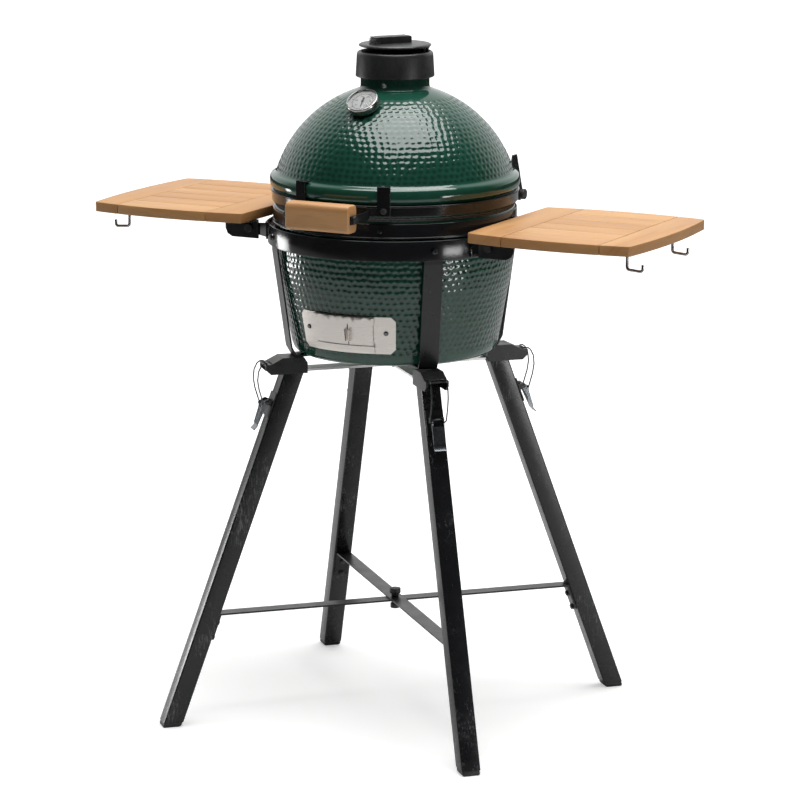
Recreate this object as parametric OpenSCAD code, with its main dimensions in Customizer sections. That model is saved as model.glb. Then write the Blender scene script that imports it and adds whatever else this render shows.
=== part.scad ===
// Ceramic egg-shaped charcoal grill on a four-leg knock-down stand, with two fold-down wooden side shelves.
// Millimetres, +Z up, the front (handle, draft door) faces -Y, origin on the floor under the egg's axis.

/* [Egg] */
// radius of the smooth ceramic lip round the dome's rim
rim_r = 208; // [150:1:260]
// outer radius of the dome's spherical shell
dome_r = 207; // [150:1:260]
// height of the base's top face, where the two felt gaskets meet
joint_z = 870; // [700:1:1000]
// thickness of the ceramic walls
wall = 22; // [15:1:30]
// outer radius of the neck under the vent cap
neck_r = 57; // [40:1:75]

/* [Stand] */
// radius at which a leg's centre line meets the floor
foot_r = 397; // [300:1:500]
// lean of the legs from upright, degrees
lean = 20; // [10:1:28]
// outside width of the square leg tube
leg_w = 32; // [24:1:40]
// height of the lower cross bars
brace_z = 188.5; // [120:1:260]
// outer radius of the carrier ring round the base
ring_r = 212.3; // [205:0.1:240]
// height of the carrier ring's band
ring_h = 32.6; // [20:0.1:45]

/* [Shelves] */
// how far a shelf's wood reaches out along X, at its middle
shelf_len = 296; // [200:1:340]
// half width of a shelf at its middle
shelf_half = 165; // [110:1:190]
// thickness of the shelf boards
shelf_t = 16.5; // [12:0.5:24]
// radius of the shelf pivot bolts
pivot_r = 4; // [3:0.1:6]

/* [Lid hinge] */
// distance of the lid's pivot axis behind the egg's axis
hinge_y = 245; // [235:1:265]
// height of the lid's pivot axis
hinge_z = 860; // [850:1:868]
// radius of the hinge shaft
shaft_r = 5; // [4:0.1:7]

/* [Handle] */
// length of the wooden grip
grip_len = 115; // [80:1:150]
// distance of the grip's middle in front of the egg's axis
grip_y = 257; // [245:1:280]

/* [Thermometer] */
// radius of the dial's case
dial_r = 27; // [18:0.5:34]
// tilt of the dial from facing straight up, degrees
dial_tilt = 36; // [30:1:44]

/* [Vent cap] */
// outer radius of the cap's body at its foot
cap_r = 65.3; // [55:0.1:80]
// radius of the cap's flap
flap_r = 60; // [50:0.5:66]
// direction the flap's grip points, degrees from straight out to the right
cap_turn = 236; // [0:1:360]

/* [Fits] */
// radial clearance of a turning pin in its bore
run = 0.05; // [0.02:0.01:0.1]
// gap between pieces of one body that rest on each other round a curve
seat = 0.05; // [0.02:0.01:0.2]
// gap between two pieces that move past each other
pass = 0.4; // [0.3:0.05:1]

/* [Hidden] */
$fn = 96;
eps = 0.01;
gap_z = 0.4;                       // between the two felts
felt = 3.1;
dome_z0 = joint_z + 2*felt + gap_z; // underside of the dome's ceramic
sphere_z = joint_z - 6;             // centre of the dome's sphere
rim_z0 = joint_z + 32;
rim_z1 = joint_z + 55;
base_r = rim_r - 8;                 // base's radius at the band
band_lo_z0 = joint_z - 28;  band_lo_z1 = joint_z - 3.5;
band_hi_z0 = joint_z + 9;   band_hi_z1 = joint_z + 26.5;
band_lo_r = base_r + 3;     band_hi_r = rim_r - 3;
band_t = 2.9;
ring_z1 = joint_z - 30.2;   ring_z0 = ring_z1 - ring_h;  ring_t = 3;
foot_z = joint_z - 245;     // underside of the base's ceramic
side_r0 = rim_r - 35.3;  side_z0 = joint_z - 230;
side_r1 = rim_r - 19.5;  side_z1 = joint_z - 144;
function side_r(z) = side_r0 + (side_r1 - side_r0)*(z - side_z0)/(side_z1 - side_z0);
neck_z1 = joint_z + 215;
door_z0 = joint_z - 222; door_z1 = joint_z - 159; door_a = 28;
panel_z0 = door_z0 + 11.5; panel_z1 = door_z1 - 10.5; split_a = 3; panel_a = 16.5; slide_a = 10.5;
shelf_z0 = joint_z - 29; shelf_z1 = shelf_z0 + shelf_t; shelf_x0 = rim_r;
pivot_x = rim_r + 14; pivot_z = joint_z - 44; arm_y = 100; arm_t = 3;
leg_l = 643; beam_z = foot_z - 28;
inner_off = leg_w/2/cos(lean);
function leg_r(z) = foot_r - z*tan(lean);

// ---------- helpers ----------
// a strip of thickness t along a path of points, mitred at the bends
function unit(v) = v/norm(v);
function nrm(v) = [-v[1], v[0]];
function side_pt(p, i, d) =
  let (n = len(p), a = i > 0 ? nrm(unit(p[i]-p[i-1])) : nrm(unit(p[1]-p[0])),
       b = i < n-1 ? nrm(unit(p[i+1]-p[i])) : nrm(unit(p[n-1]-p[n-2])), m = unit(a+b))
  p[i] + m*d/(m*a);
module ribbon(p, t) {
  n = len(p);
  polygon(concat([for (i=[0:n-1]) side_pt(p, i, t/2)], [for (i=[n-1:-1:0]) side_pt(p, i, -t/2)]));
}
// a strip in the radial plane, w wide
module strip(p, t, w) { translate([0, w/2, 0]) rotate([90, 0, 0]) linear_extrude(w) ribbon(p, t); }
module radial_plate(p, w) { translate([0, w/2, 0]) rotate([90, 0, 0]) linear_extrude(w) polygon(p); }
module at_leg(k) { rotate([0, 0, 45 + 90*k]) children(); }
module on_leg(k) { at_leg(k) translate([foot_r, 0, 0]) rotate([0, -lean, 0]) children(); }
module hoop(r0, r1, z0, z1) { translate([0, 0, z0]) difference() { cylinder(r = r1, h = z1-z0); translate([0, 0, -1]) cylinder(r = r0, h = z1-z0+2); } }
// an arc of a ring, centred on the angle a from the front, 2*half wide
module arc(r0, r1, z0, z1, a, half) { rotate([0, 0, -90 + a - half]) translate([0, 0, z0]) rotate_extrude(angle = 2*half) translate([r0, 0]) square([r1-r0, z1-z0]); }
module turned(p) { rotate_extrude() polygon(p); }
// a hex head lying on radius r at angle a from the front
module radial_bolt(a, z, r0, r1, head, hr) {
  rotate([0, 0, -90 + a]) translate([r0, 0, z]) rotate([0, 90, 0]) union() {
    cylinder(r = 2.5, h = r1 - r0);
    translate([0, 0, r1 - r0 - eps]) cylinder(r = hr, h = head);
  }
}

// ---------- stand ----------
module leg(k) {
  on_leg(k) difference() {
    translate([-leg_w/2, -leg_w/2, 0]) cube([leg_w, leg_w, leg_l]);
    translate([-leg_w/2 + 2, -leg_w/2 + 2, -20]) cube([leg_w - 4, leg_w - 4, leg_l + 40]);
    rotate([0, lean, 0]) translate([-60, -60, -60]) cube([120, 120, 68]);
  }
}
module legs_front() { color("#17181a") { leg(2); leg(3); } }
module legs_back() { color("#17181a") { leg(0); leg(1); } }
module foot_plugs() { color("#101010") for (k = [0:3]) union() {
  intersection() {
    on_leg(k) translate([-leg_w/2 + 1, -leg_w/2 + 1, -30]) cube([leg_w - 2, leg_w - 2, 80]);
    at_leg(k) translate([foot_r - 60, -60, 0]) cube([120, 120, 8]);
  }
  intersection() {
    on_leg(k) translate([-leg_w/2 + 2 + seat, -leg_w/2 + 2 + seat, -30]) cube([leg_w - 4 - 2*seat, leg_w - 4 - 2*seat, 80]);
    at_leg(k) translate([foot_r - 60, -60, 7]) cube([120, 120, 25]);
  }
} }
module brace(a, z) {
  t = 3; r0 = leg_r(z) - inner_off - t/2/cos(lean) - seat; z2 = z - 45*cos(lean); r2 = r0 + 45*sin(lean);
  rotate([0, 0, a]) difference() {
    strip([[-r2, z2], [-r0, z], [r0, z], [r2, z2]], t, 25);
    translate([0, 0, z - 10]) cylinder(r = 4.1 + run, h = 20);
  }
}
module brace_lower() { color("#17181a") brace(45, brace_z); }
module brace_upper() { color("#17181a") brace(135, brace_z + 3); }
module brace_bolts() { color("#2a2a2c") for (k = [0:3]) {
  dz = (k % 2 == 0) ? 0 : 3;
  for (s = [10, 36]) on_leg(k) translate([-leg_w/2 - 3.2, 0, (brace_z + dz)/cos(lean) - s]) rotate([0, -90, 0]) cylinder(r = 5.5, h = 4);
} }
module brace_knob() { color("#141414") translate([0, 0, brace_z]) union() {
  translate([0, 0, -14]) cylinder(r = 4.1, h = 30);
  translate([0, 0, 4.9]) cylinder(r = 6.5, h = 6);
  translate([0, 0, 9]) cylinder(r = 9.5, h = 10);
  translate([0, 0, -16]) cylinder(r = 8, h = 9);
  translate([0, 0, -8]) cylinder(r = 6, h = 6.1);
} }
br_in = leg_w/2 + 0.4; br_out = br_in + 3;
br_side = [[158, foot_z-30.5], [158, foot_z-13], [164, foot_z-3.5], [200, foot_z-3], [221, foot_z-13], [230, foot_z-13], [230, foot_z-22], [221, foot_z-30.5]];
module leg_brackets() { color("#141517") for (k = [0:3]) at_leg(k) union() {
  for (s = [-1, 1]) translate([0, s*(br_in + 1.5), 0]) radial_plate(br_side, 3);
  strip([[159.5, foot_z-30.5], [159.5, foot_z-13.5], [164.7, foot_z-5], [200, foot_z-4.5], [220.6, foot_z-14.5], [230, foot_z-14.5]], 3, 2*br_in + 1);
} }
module beam(a, z) { rotate([0, 0, a]) difference() { translate([-157.9, -15, z]) cube([315.8, 30, 4]); translate([0, 0, z-1]) cylinder(r = 5, h = 6); } }
module base_beams() { color("#b4b4b0") { beam(45, beam_z); beam(135, beam_z + 4.02); } }
module beam_bolt() { color("#8d8f92") translate([0, 0, beam_z - 5]) union() { cylinder(r = 8, h = 5 - seat); cylinder(r = 4.9, h = 18); translate([0, 0, 13.1]) cylinder(r = 8, h = 5); } }
strap_r0 = base_r - 15.5; strap_r1 = ring_r - ring_t - 0.7 - 1.5;
module cradle_straps() { color("#141517") for (k = [0:3]) at_leg(k)
  strip([[strap_r1, ring_z1 - 2], [strap_r1, ring_z0 - 7], [strap_r0, foot_z + 13], [strap_r0 - 8, foot_z - 1.5], [138, foot_z - 1.5]], 2.9, 33); }
module carrier_ring() { color("#101114") hoop(ring_r - ring_t, ring_r, ring_z0, ring_z1); }

// ---------- leg latches: a lever on a rivet, with a wire bail over the bracket's lip ----------
lat_l = 573; lat_n = leg_w/2 + 9;     // rivet, along the leg and out from its middle
e_b = 9; a_b = -40;                    // where the bail turns on the lever
module at_rivet(k) { on_leg(k) translate([lat_n, 0, lat_l]) children(); }
module cross_pin(r, half) { rotate([90, 0, 0]) cylinder(r = r, h = 2*half, center = true); }
module latch_plates() { color("#1a1a1c") for (k = [0:3]) at_rivet(k) difference() {
  union() {
    translate([-9 + seat, -15, -24]) cube([2, 30, 42]);
    for (s = [-1, 1]) translate([0, s*11.55, 0]) { rotate([90, 0, 0]) cylinder(r = 4.5, h = 1.5, center = true); translate([-8, -0.75, -4.5]) cube([8, 1.5, 9]); }
  }
  cross_pin(2 + seat, 20);
} }
module latch_rivets() { color("#c9cacc") for (k = [0:3]) at_rivet(k) cross_pin(2, 12.5); }
module lever(k) { at_rivet(k) difference() {
  union() {
    for (s = [-1, 1]) translate([0, s*9.7, 0]) {
      rotate([90, 0, 0]) cylinder(r = 5, h = 1.4, center = true);
      translate([e_b*cos(a_b), 0, e_b*sin(a_b)]) rotate([90, 0, 0]) cylinder(r = 3.4, h = 1.4, center = true);
      rotate([90, 0, 0]) translate([0, 0, -0.7]) linear_extrude(1.4) polygon([[-4.6, 0], [4, 3], [9.6, -4], [7.2, -14], [6, -40], [3.6, -40], [1, -12]]);
    }
    translate([0, 10.4, 0]) rotate([90, 0, 0]) linear_extrude(20.8) ribbon([[6.6, -12], [4.2, -44], [7.5, -52]], 1.6);
  }
  cross_pin(2 + run, 20);
  translate([e_b*cos(a_b), 0, e_b*sin(a_b)]) cross_pin(1.1 + run, 20);
} }
module latch_1() { color("#9a9c9f") lever(0); }
module latch_2() { color("#9a9c9f") lever(1); }
module latch_3() { color("#9a9c9f") lever(2); }
module latch_4() { color("#9a9c9f") lever(3); }
bail_w = 14; wire_r = 1.1;
// the bail's side, in the radial plane: out over the lip, then down to the lever
bail_b = [foot_r - lat_l*sin(lean) + lat_n*cos(lean) + e_b*cos(a_b)*cos(lean) - e_b*sin(a_b)*sin(lean),
          lat_l*cos(lean) + lat_n*sin(lean) + e_b*cos(a_b)*sin(lean) + e_b*sin(a_b)*cos(lean)];
bail_c = [225.5, foot_z - 13 + wire_r + 0.35];
bail_path = [bail_c, [231.5, foot_z - 11.4], [236.5, foot_z - 15], [241.5, foot_z - 25], [243, foot_z - 40], [240.5, foot_z - 56], bail_b];
module rod(a, b, r) { d = b - a; l = norm(d); translate(a) rotate([0, acos(d[2]/l), atan2(d[1], d[0])]) cylinder(r = r, h = l, $fn = 24); }
module bail(k) { at_leg(k) union() {
  n = len(bail_path);
  for (s = [-1, 1]) {
    for (i = [0:n-2]) rod([bail_path[i][0], s*bail_w, bail_path[i][1]], [bail_path[i+1][0], s*bail_w, bail_path[i+1][1]], wire_r);
    for (i = [0:n-1]) translate([bail_path[i][0], s*bail_w, bail_path[i][1]]) sphere(r = wire_r*1.12, $fn = 24);
    rod([bail_b[0], s*9.1, bail_b[1]], [bail_b[0], s*bail_w, bail_b[1]], wire_r);
  }
  rod([bail_c[0], -bail_w, bail_c[1]], [bail_c[0], bail_w, bail_c[1]], wire_r);
} }
module bail_1() { color("#1a1a1a") bail(0); }
module bail_2() { color("#1a1a1a") bail(1); }
module bail_3() { color("#1a1a1a") bail(2); }
module bail_4() { color("#1a1a1a") bail(3); }

// ---------- ceramic base and what is inside it ----------
module base_shell() { color("#2c5c48") difference() {
  turned([[0, foot_z], [rim_r-50, foot_z], [rim_r-44, foot_z+1.5], [rim_r-39.5, foot_z+5.5], [rim_r-36.8, foot_z+11], [side_r0, side_z0], [side_r1, side_z1],
    [rim_r-15, joint_z-122], [rim_r-11.5, joint_z-99], [rim_r-9, joint_z-70], [base_r, joint_z-40], [base_r, joint_z],
    [base_r-wall, joint_z], [base_r-wall-1, joint_z-70], [side_r1-wall+1, side_z1], [side_r0-wall+2, side_z0+20], [side_r0-wall-8, foot_z+26], [0, foot_z+26]]);
  arc(100, 220, door_z0 + 12, door_z1 - 11, 0, 14);
  screw_holes();
} }
fb_z0 = foot_z + 26.1; fb_z1 = joint_z - 70;
module fire_box() { color("#b9a98c") difference() {
  turned([[0, fb_z0], [rim_r-77, fb_z0], [rim_r-66, fb_z0+26], [rim_r-58, fb_z1-40], [rim_r-58, fb_z1], [rim_r-78, fb_z1], [rim_r-78, fb_z1-40], [rim_r-86, fb_z0+60], [0, fb_z0+60]]);
  turned([[0, fb_z0+12], [rim_r-95, fb_z0+12], [rim_r-88, fb_z0+48], [0, fb_z0+48]]);
  translate([0, 0, fb_z0+40]) cylinder(r = 78, h = 40);
  arc(60, 200, door_z0 + 15, door_z1 - 13, 0, 15);
} }
module fire_ring() { color("#b9a98c") turned([[rim_r-76, fb_z1+0.05], [rim_r-56, fb_z1+0.05], [rim_r-48, fb_z1+12], [rim_r-48, joint_z-10], [rim_r-66, joint_z-10], [rim_r-66, fb_z1+14]]); }
module fire_grate() { color("#2b2b2b") difference() {
  translate([0, 0, fb_z0 + 60.05]) cylinder(r = 100, h = 9);
  for (x = [-75:15:75]) for (s = [-1, 1]) translate([x - 3, s > 0 ? 5 : -5 - sqrt(88*88 - x*x), fb_z0 + 55]) cube([6, sqrt(88*88 - x*x), 20]);
} }
grid_z = joint_z - 6.9;
module cooking_grid() { color("#c7c9cb") union() {
  translate([0, 0, grid_z]) rotate_extrude() translate([rim_r - 52, 0]) circle(r = 3, $fn = 24);
  for (x = [-144:12:144]) rod([x, -sqrt(156*156 - x*x), grid_z], [x, sqrt(156*156 - x*x), grid_z], 2);
  for (y = [-60, 60]) rod([-sqrt(156*156 - y*y), y, grid_z + 0.8], [sqrt(156*156 - y*y), y, grid_z + 0.8], 2.4);
} }
module base_gasket() { color("#8a8a86") hoop(base_r - wall + 2, base_r - 1, joint_z, joint_z + felt); }
module dome_gasket() { color("#8a8a86") hoop(base_r - wall + 9, base_r + 1, dome_z0 - felt, dome_z0); }

// ---------- steel bands ----------
module base_band() { color("#101114") union() {
  hoop(base_r + seat, band_lo_r, band_lo_z0, band_lo_z1);
  hoop(band_lo_r - 1, band_lo_r + 2, band_lo_z0, band_lo_z0 + 2.5);
} }
module dome_band() { color("#101114") union() {
  hoop(rim_r - 6 + seat, band_hi_r, band_hi_z0, band_hi_z1);
  hoop(band_hi_r - 1, band_hi_r + 2, band_hi_z1 - 2.5, band_hi_z1);
} }
clip_a = 20.8; clip_at = [-19.2, 22.6]; clip_r = rim_r + 0.4;
module dome_clips() { color("#101114") for (a = clip_at) rotate([0, 0, -90 + a])
  strip([[clip_r + 1.3, band_hi_z0 + 1], [clip_r + 1.3, rim_z1 + 2.2], [rim_r - 9, rim_z1 + 2.2]], 2.6, 21.5); }
module dome_bolts() { color("#1b1b1c") {
  for (a = clip_at) radial_bolt(a, band_hi_z0 + 10, clip_r + 2.6 + seat, clip_r + 3, 5, 5.5);
} }

// ---------- draft door ----------
// a skin over the ceramic's cone between two heights, from n0 to n1 proud of it
module skin(n0, n1, z0, z1, a0, a1) { rotate([0, 0, -90 + a0]) rotate_extrude(angle = a1 - a0)
  polygon([[side_r(z0) + n0, z0], [side_r(z0) + n1, z0], [side_r(z1) + n1, z1], [side_r(z1) + n0, z1]]); }
module door_frame() { color("#c9c2ba") union() {
  difference() {
    skin(0.1, 1.4, door_z0, door_z1, -door_a, door_a);
    skin(-5, 8, panel_z0 + 2, panel_z1 - 2, -13, 13);
    for (s = [-1, 1]) for (t = [-1, 1]) rotate([0, 0, -90 + s*door_a]) translate([180, 0, t > 0 ? door_z1 : door_z0]) rotate([45, 0, 0]) cube([60, 11, 11], center = true);
    screw_holes();
  }
  for (a = [0, 1]) {
    z0 = a == 0 ? door_z0 + 1 : panel_z1 + 0.5; z1 = a == 0 ? panel_z0 - 0.5 : door_z1 - 1;
    skin(1.3, 5.8, z0, z1, -17, 17);
    skin(4.7, 5.8, a == 0 ? z0 : z0 - 2.5, a == 0 ? z1 + 2.5 : z1, -17, 17);
  }
} }
screw_z = (door_z0 + door_z1)/2 + 4;
// on the outside of the door's plate, +Z square to the ceramic's cone
module at_screws() { for (s = [-23, 23]) rotate([0, 0, -90 + s]) translate([side_r(screw_z) + 1.55, 0, screw_z]) rotate([0, 90 + atan2(side_r1 - side_r0, side_z1 - side_z0), 0]) children(); }
module door_screws() { color("#9a9690") at_screws() union() { cylinder(r = 4.2, h = 1.2); translate([0, 0, -11]) cylinder(r = 2, h = 11.5); } }
module screw_holes() { at_screws() translate([0, 0, -11.5]) cylinder(r = 2 + seat, h = 14); }
module door_panel(a0, a1, tab) { union() {
  skin(3.15, 4.25, panel_z0, panel_z1, a0, a1);   // slides over the heads of the door's screws
  skin(4.15, 11, (panel_z0 + panel_z1)/2 - 11, (panel_z0 + panel_z1)/2 + 9, tab - 0.22, tab + 0.22);
} }
module door_panel_left() { color("#cfc8c0") door_panel(-panel_a, split_a - 0.25, split_a - 1.1); }
module door_panel_right() { color("#cfc8c0") door_panel(split_a + 0.25, panel_a, split_a + 1.1); }

// ---------- lid hinge ----------
// the lower bracket's arms, the upper bracket's arms outside them, and half the shaft
lower_x = 98; upper_x = 112; shaft_x = 120;
module yz_plate(p, x, t) { translate([x - t/2, 0, 0]) rotate([90, 0, 90]) linear_extrude(t) polygon(p); }
module x_rod(r, x0, x1) { translate([x0, hinge_y, hinge_z]) rotate([0, 90, 0]) cylinder(r = r, h = x1 - x0); }
module hinge_bracket_lower() { color("#141517") difference() {
  union() {
    arc(band_lo_r + 2.1, band_lo_r + 5, band_lo_z0, band_lo_z1, 180, 31);
    for (s = [-1, 1]) { yz_plate([[170, band_lo_z0], [170, band_lo_z1], [hinge_y, hinge_z + 10], [hinge_y + 4, hinge_z - 9.2], [215, band_lo_z0 - 6]], s*lower_x, 3); x_rod(10, s*lower_x - 1.5, s*lower_x + 1.5); }
  }
  cylinder(r = band_lo_r + 2.1, h = 1000);
  x_rod(shaft_r + seat, -shaft_x, shaft_x);
} }
module hinge_shaft() { color("#1b1b1c") union() { x_rod(shaft_r, -shaft_x, shaft_x); for (s = [-1, 1]) x_rod(9, s*(shaft_x - 1) - 4, s*(shaft_x - 1) + 4); } }
module hinge_springs() { color("#8d8f92") for (s = [-1, 1]) union() {
  for (i = [0:9]) translate([s*(30 + i*4.8), hinge_y, hinge_z]) rotate([0, 90, 0]) rotate_extrude() translate([shaft_r + 2.8, 0]) circle(r = 2.5, $fn = 24);
} }
module hinge_bracket_upper() { color("#141517") difference() {
  union() {
    arc(band_hi_r + 2.1, band_hi_r + 5, band_hi_z0, band_hi_z1, 180, 35.5);
    for (s = [-1, 1]) { yz_plate([[170, band_hi_z0 + 1], [170, band_hi_z1], [206, band_hi_z1 + 4], [218, joint_z + 60], [232, joint_z + 60], [hinge_y + 10.4, hinge_z + 4], [hinge_y - 9, hinge_z - 6], [215, joint_z + 6]], s*upper_x, 3); x_rod(11, s*upper_x - 1.5, s*upper_x + 1.5); }
  }
  cylinder(r = band_hi_r + 2.1, h = 1000);
  translate([0, 0, rim_z0 - 3]) cylinder(r = rim_r + 2, h = 1000);
  x_rod(shaft_r + run, -shaft_x, shaft_x);
} }

// ---------- shelves ----------
arc_r = ((shelf_len/2)*(shelf_len/2) + 225)/30;
module outline(z0, z1) { intersection() {
  translate([shelf_x0, -shelf_half - 5, z0]) cube([shelf_len, 2*shelf_half + 10, z1 - z0]);
  translate([shelf_x0 + shelf_len/2, arc_r - shelf_half, z0]) cylinder(r = arc_r, h = z1 - z0, $fn = 720);
  translate([shelf_x0 + shelf_len/2, shelf_half - arc_r, z0]) cylinder(r = arc_r, h = z1 - z0, $fn = 720);
  translate([shelf_x0 + shelf_len - 1130, 0, z0]) cylinder(r = 1130, h = z1 - z0, $fn = 720);
} }
module board(x0, x1, y0, y1) { intersection() { outline(shelf_z0, shelf_z1); translate([x0, y0, shelf_z0 - 1]) cube([x1 - x0, y1 - y0, shelf_t + 2]); } }
xa = shelf_x0 + 65; xb = shelf_x0 + shelf_len - 60;
slat_y = [-shelf_half - 5, -104, -52, 0, 52, 104, shelf_half + 5];
// boards tongued together: the joints are V grooves 1.2 wide and 4 deep over solid wood
module shelf_wood() { difference() {
  outline(shelf_z0, shelf_z1);
  for (x = [xa, xb]) translate([x - 0.6, -200, shelf_z1 - 4]) cube([1.2, 400, 10]);
  for (i = [1:5]) translate([xa, slat_y[i] - 0.6, shelf_z1 - 4]) cube([xb - xa, 1.2, 10]);
} }
module arm(y) { s = y > 0 ? 1 : -1; difference() {
  union() {
    translate([0, y + arm_t/2, 0]) rotate([90, 0, 0]) linear_extrude(arm_t) polygon([[pivot_x-17, shelf_z0-32], [pivot_x-17, shelf_z0-0.05], [pivot_x+46, shelf_z0-0.05], [pivot_x+46, shelf_z0-18], [pivot_x+42, shelf_z0-27], [pivot_x+33, shelf_z0-32]]);
    translate([pivot_x-17, s > 0 ? y : y - 20, shelf_z0-3]) cube([63, 20, 2.95]);
  }
  translate([pivot_x, y, pivot_z]) rotate([90, 0, 0]) cylinder(r = pivot_r + run, h = 30, center = true);
} }
hook_reach = 27; hook_drop = 24; hook_rod = 2.4;
module hook(x, y) { low = shelf_z0 - hook_drop; tip = x + 2 + hook_reach; union() {
  translate([x - 40, y - 6, shelf_z0 - 2.6]) cube([44, 12, 2.5]);
  rod([x + 2, y, shelf_z0 - 2], [x + 2, y, low], hook_rod);
  rod([x + 2, y, low], [tip, y, low - 2], hook_rod);
  rod([tip, y, low - 2], [tip, y, low + 8.5], hook_rod);
  for (p = [[x + 2, y, low], [tip, y, low - 2], [tip, y, low + 8.5]]) translate(p) sphere(r = hook_rod + 0.3, $fn = 24);
} }
// the hooks sit this far in from the shelf's outer edge, on the right and on the left
hook_in_right = 26; hook_in_left = 67; hook_y = [-130, 51];
module irons(hook_in) { for (y = [-arm_y, arm_y]) arm(y); for (y = hook_y) hook(shelf_x0 + shelf_len - hook_in, y); }
module shelf_right() { color("#dba56b") shelf_wood(); }
module shelf_left() { color("#dba56b") mirror([1, 0, 0]) shelf_wood(); }
module shelf_irons_right() { color("#17181a") irons(hook_in_right); }
module shelf_irons_left() { color("#17181a") mirror([1, 0, 0]) irons(hook_in_left); }
module shelf_bracket(s, y) { t = y > 0 ? 1 : -1; yy = y - t*(arm_t + pass); a = asin(abs(yy)/ring_r);
  mirror([s < 0 ? 1 : 0, 0, 0]) difference() {
    union() {
      difference() {
        translate([0, yy + 1.5, 0]) rotate([90, 0, 0]) linear_extrude(3) polygon([[180, ring_z0 + 3], [180, ring_z1 - 3], [pivot_x, pivot_z + 8], [pivot_x, pivot_z - 8]]);
        cylinder(r = ring_r + 1.6, h = 1000);
      }
      translate([pivot_x, yy, pivot_z]) rotate([90, 0, 0]) cylinder(r = 9, h = 3, center = true);
      arc(ring_r + 0.1, ring_r + 3, ring_z0 + 2, ring_z1 - 2, 90 + t*(a - 5.4), 6);
    }
    translate([pivot_x, y, pivot_z]) rotate([90, 0, 0]) cylinder(r = pivot_r + seat, h = 30, center = true);
  } }
module shelf_brackets() { color("#c3c5c8") for (s = [-1, 1]) for (y = [-arm_y, arm_y]) shelf_bracket(s, y); }
// the bright bolts of the stand: one through each strap and the ring, two in each shelf bracket, and those of the lower band
module base_bolts() { color("#b9bbbe") {
  for (k = [0:3]) radial_bolt(45 + 90*k, ring_z0 + 16, ring_r + seat, ring_r + 1, 4, 5.5);
  for (s = [-1, 1]) for (t = [-1, 1]) for (z = [ring_z0 + 7, ring_z1 - 8])
    mirror([s < 0 ? 1 : 0, 0, 0]) radial_bolt(90 + t*19, z, ring_r + 3.05, ring_r + 3.5, 3.5, 4);
  for (a = [-20.8, 20.8, 100, -100]) radial_bolt(a, (band_lo_z0 + band_lo_z1)/2 + 1, band_lo_r + seat, band_lo_r + 1, 3, 4.2);
} }
module shelf_pivot_bolts() { color("#2a2a2c") for (s = [-1, 1]) for (y = [-arm_y, arm_y]) { t = y > 0 ? 1 : -1;
  mirror([s < 0 ? 1 : 0, 0, 0]) translate([pivot_x, 0, pivot_z]) rotate([90, 0, 0]) union() {
    translate([0, 0, t > 0 ? -(y + 5) : -(y + 6.9)]) cylinder(r = pivot_r, h = 11.9);
    translate([0, 0, t > 0 ? -(y + 5.9) : -(y - 1.9)]) cylinder(r = 7, h = 4);
    translate([0, 0, t > 0 ? -(y - 4.95 - 0.1) : -(y + 8)]) cylinder(r = 6.5, h = 2.9);
  } } }

// ---------- dome ----------
th_y = -115.6*rim_r/208; th_z = joint_z + 184.6;
module at_dial() { translate([0, th_y, th_z]) rotate([dial_tilt, 0, 0]) children(); }
module dome() { color("#2c5c48") difference() {
  union() {
    intersection() { translate([0, 0, sphere_z]) sphere(r = dome_r, $fn = 180); translate([-300, -300, rim_z1 - 5]) cube([600, 600, 400]); }
    turned([[0, dome_z0], [rim_r-6, dome_z0], [rim_r-6, rim_z0-3], [rim_r-2, rim_z0], [rim_r-0.6, rim_z0+3], [rim_r, rim_z0+6], [rim_r-0.3, rim_z0+15.5], [rim_r-2.2, rim_z1-3.8], [rim_r-6, rim_z1-1.4], [rim_r-11, rim_z1+0.4], [rim_r-16, rim_z1+1.5], [0, rim_z1+1.5]]);
    translate([0, 0, sphere_z + 180]) cylinder(r = neck_r, h = neck_z1 - sphere_z - 180);
  }
  translate([0, 0, sphere_z]) sphere(r = dome_r - wall, $fn = 180);
  translate([0, 0, sphere_z - 300]) cylinder(r = dome_r - wall, h = 300);
  cylinder(r = neck_r - 12, h = 2000);
  at_dial() translate([0, 0, -60]) cylinder(r = 8, h = 80);
} }
module thermometer_case() { color("#c9cbcd") difference() {
  at_dial() union() {
    translate([0, 0, -12]) cylinder(r = dial_r, h = 14);
    translate([0, 0, -24]) cylinder(r = dial_r*0.6, h = 13);
    translate([0, 0, -120]) cylinder(r = 3, h = 110);
    translate([0, 0, -50]) cylinder(r = 7.5, h = 40);
  }
  at_dial() translate([0, 0, -4]) cylinder(r = dial_r - 2.5, h = 10);
  difference() { translate([0, 0, sphere_z]) sphere(r = dome_r + 0.1, $fn = 180); at_dial() translate([0, 0, -200]) cylinder(r = 7.6, h = 200); }
} }
module thermometer_dial() { color("#dcdcd8") at_dial() union() { translate([0, 0, -4 + eps]) cylinder(r = dial_r - 2.6, h = 1); cylinder(r = 0.8, h = 2.6, center = true); translate([0, 0, -3.5]) cylinder(r = 0.8, h = 2.2); } }
module thermometer_needle() { color("#141414") at_dial() rotate([0, 0, -84]) difference() {
  union() { translate([0, 0, -2.5]) cylinder(r = 2.4, h = 1); translate([0, 0, -2.5]) linear_extrude(0.9) polygon([[-7, -1.5], [-7, 1.5], [16, 0.5], [16, -0.5]]); }
  translate([0, 0, -5]) cylinder(r = 0.8 + run, h = 10);
} }
module thermometer_glass() { color([0.9, 0.95, 1, 0.3]) at_dial() translate([0, 0, -0.6]) difference() { cylinder(r = dial_r - 2.6, h = 1); translate([0, 0, -1]) cylinder(r = 0.9, h = 1.4); } }

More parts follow.
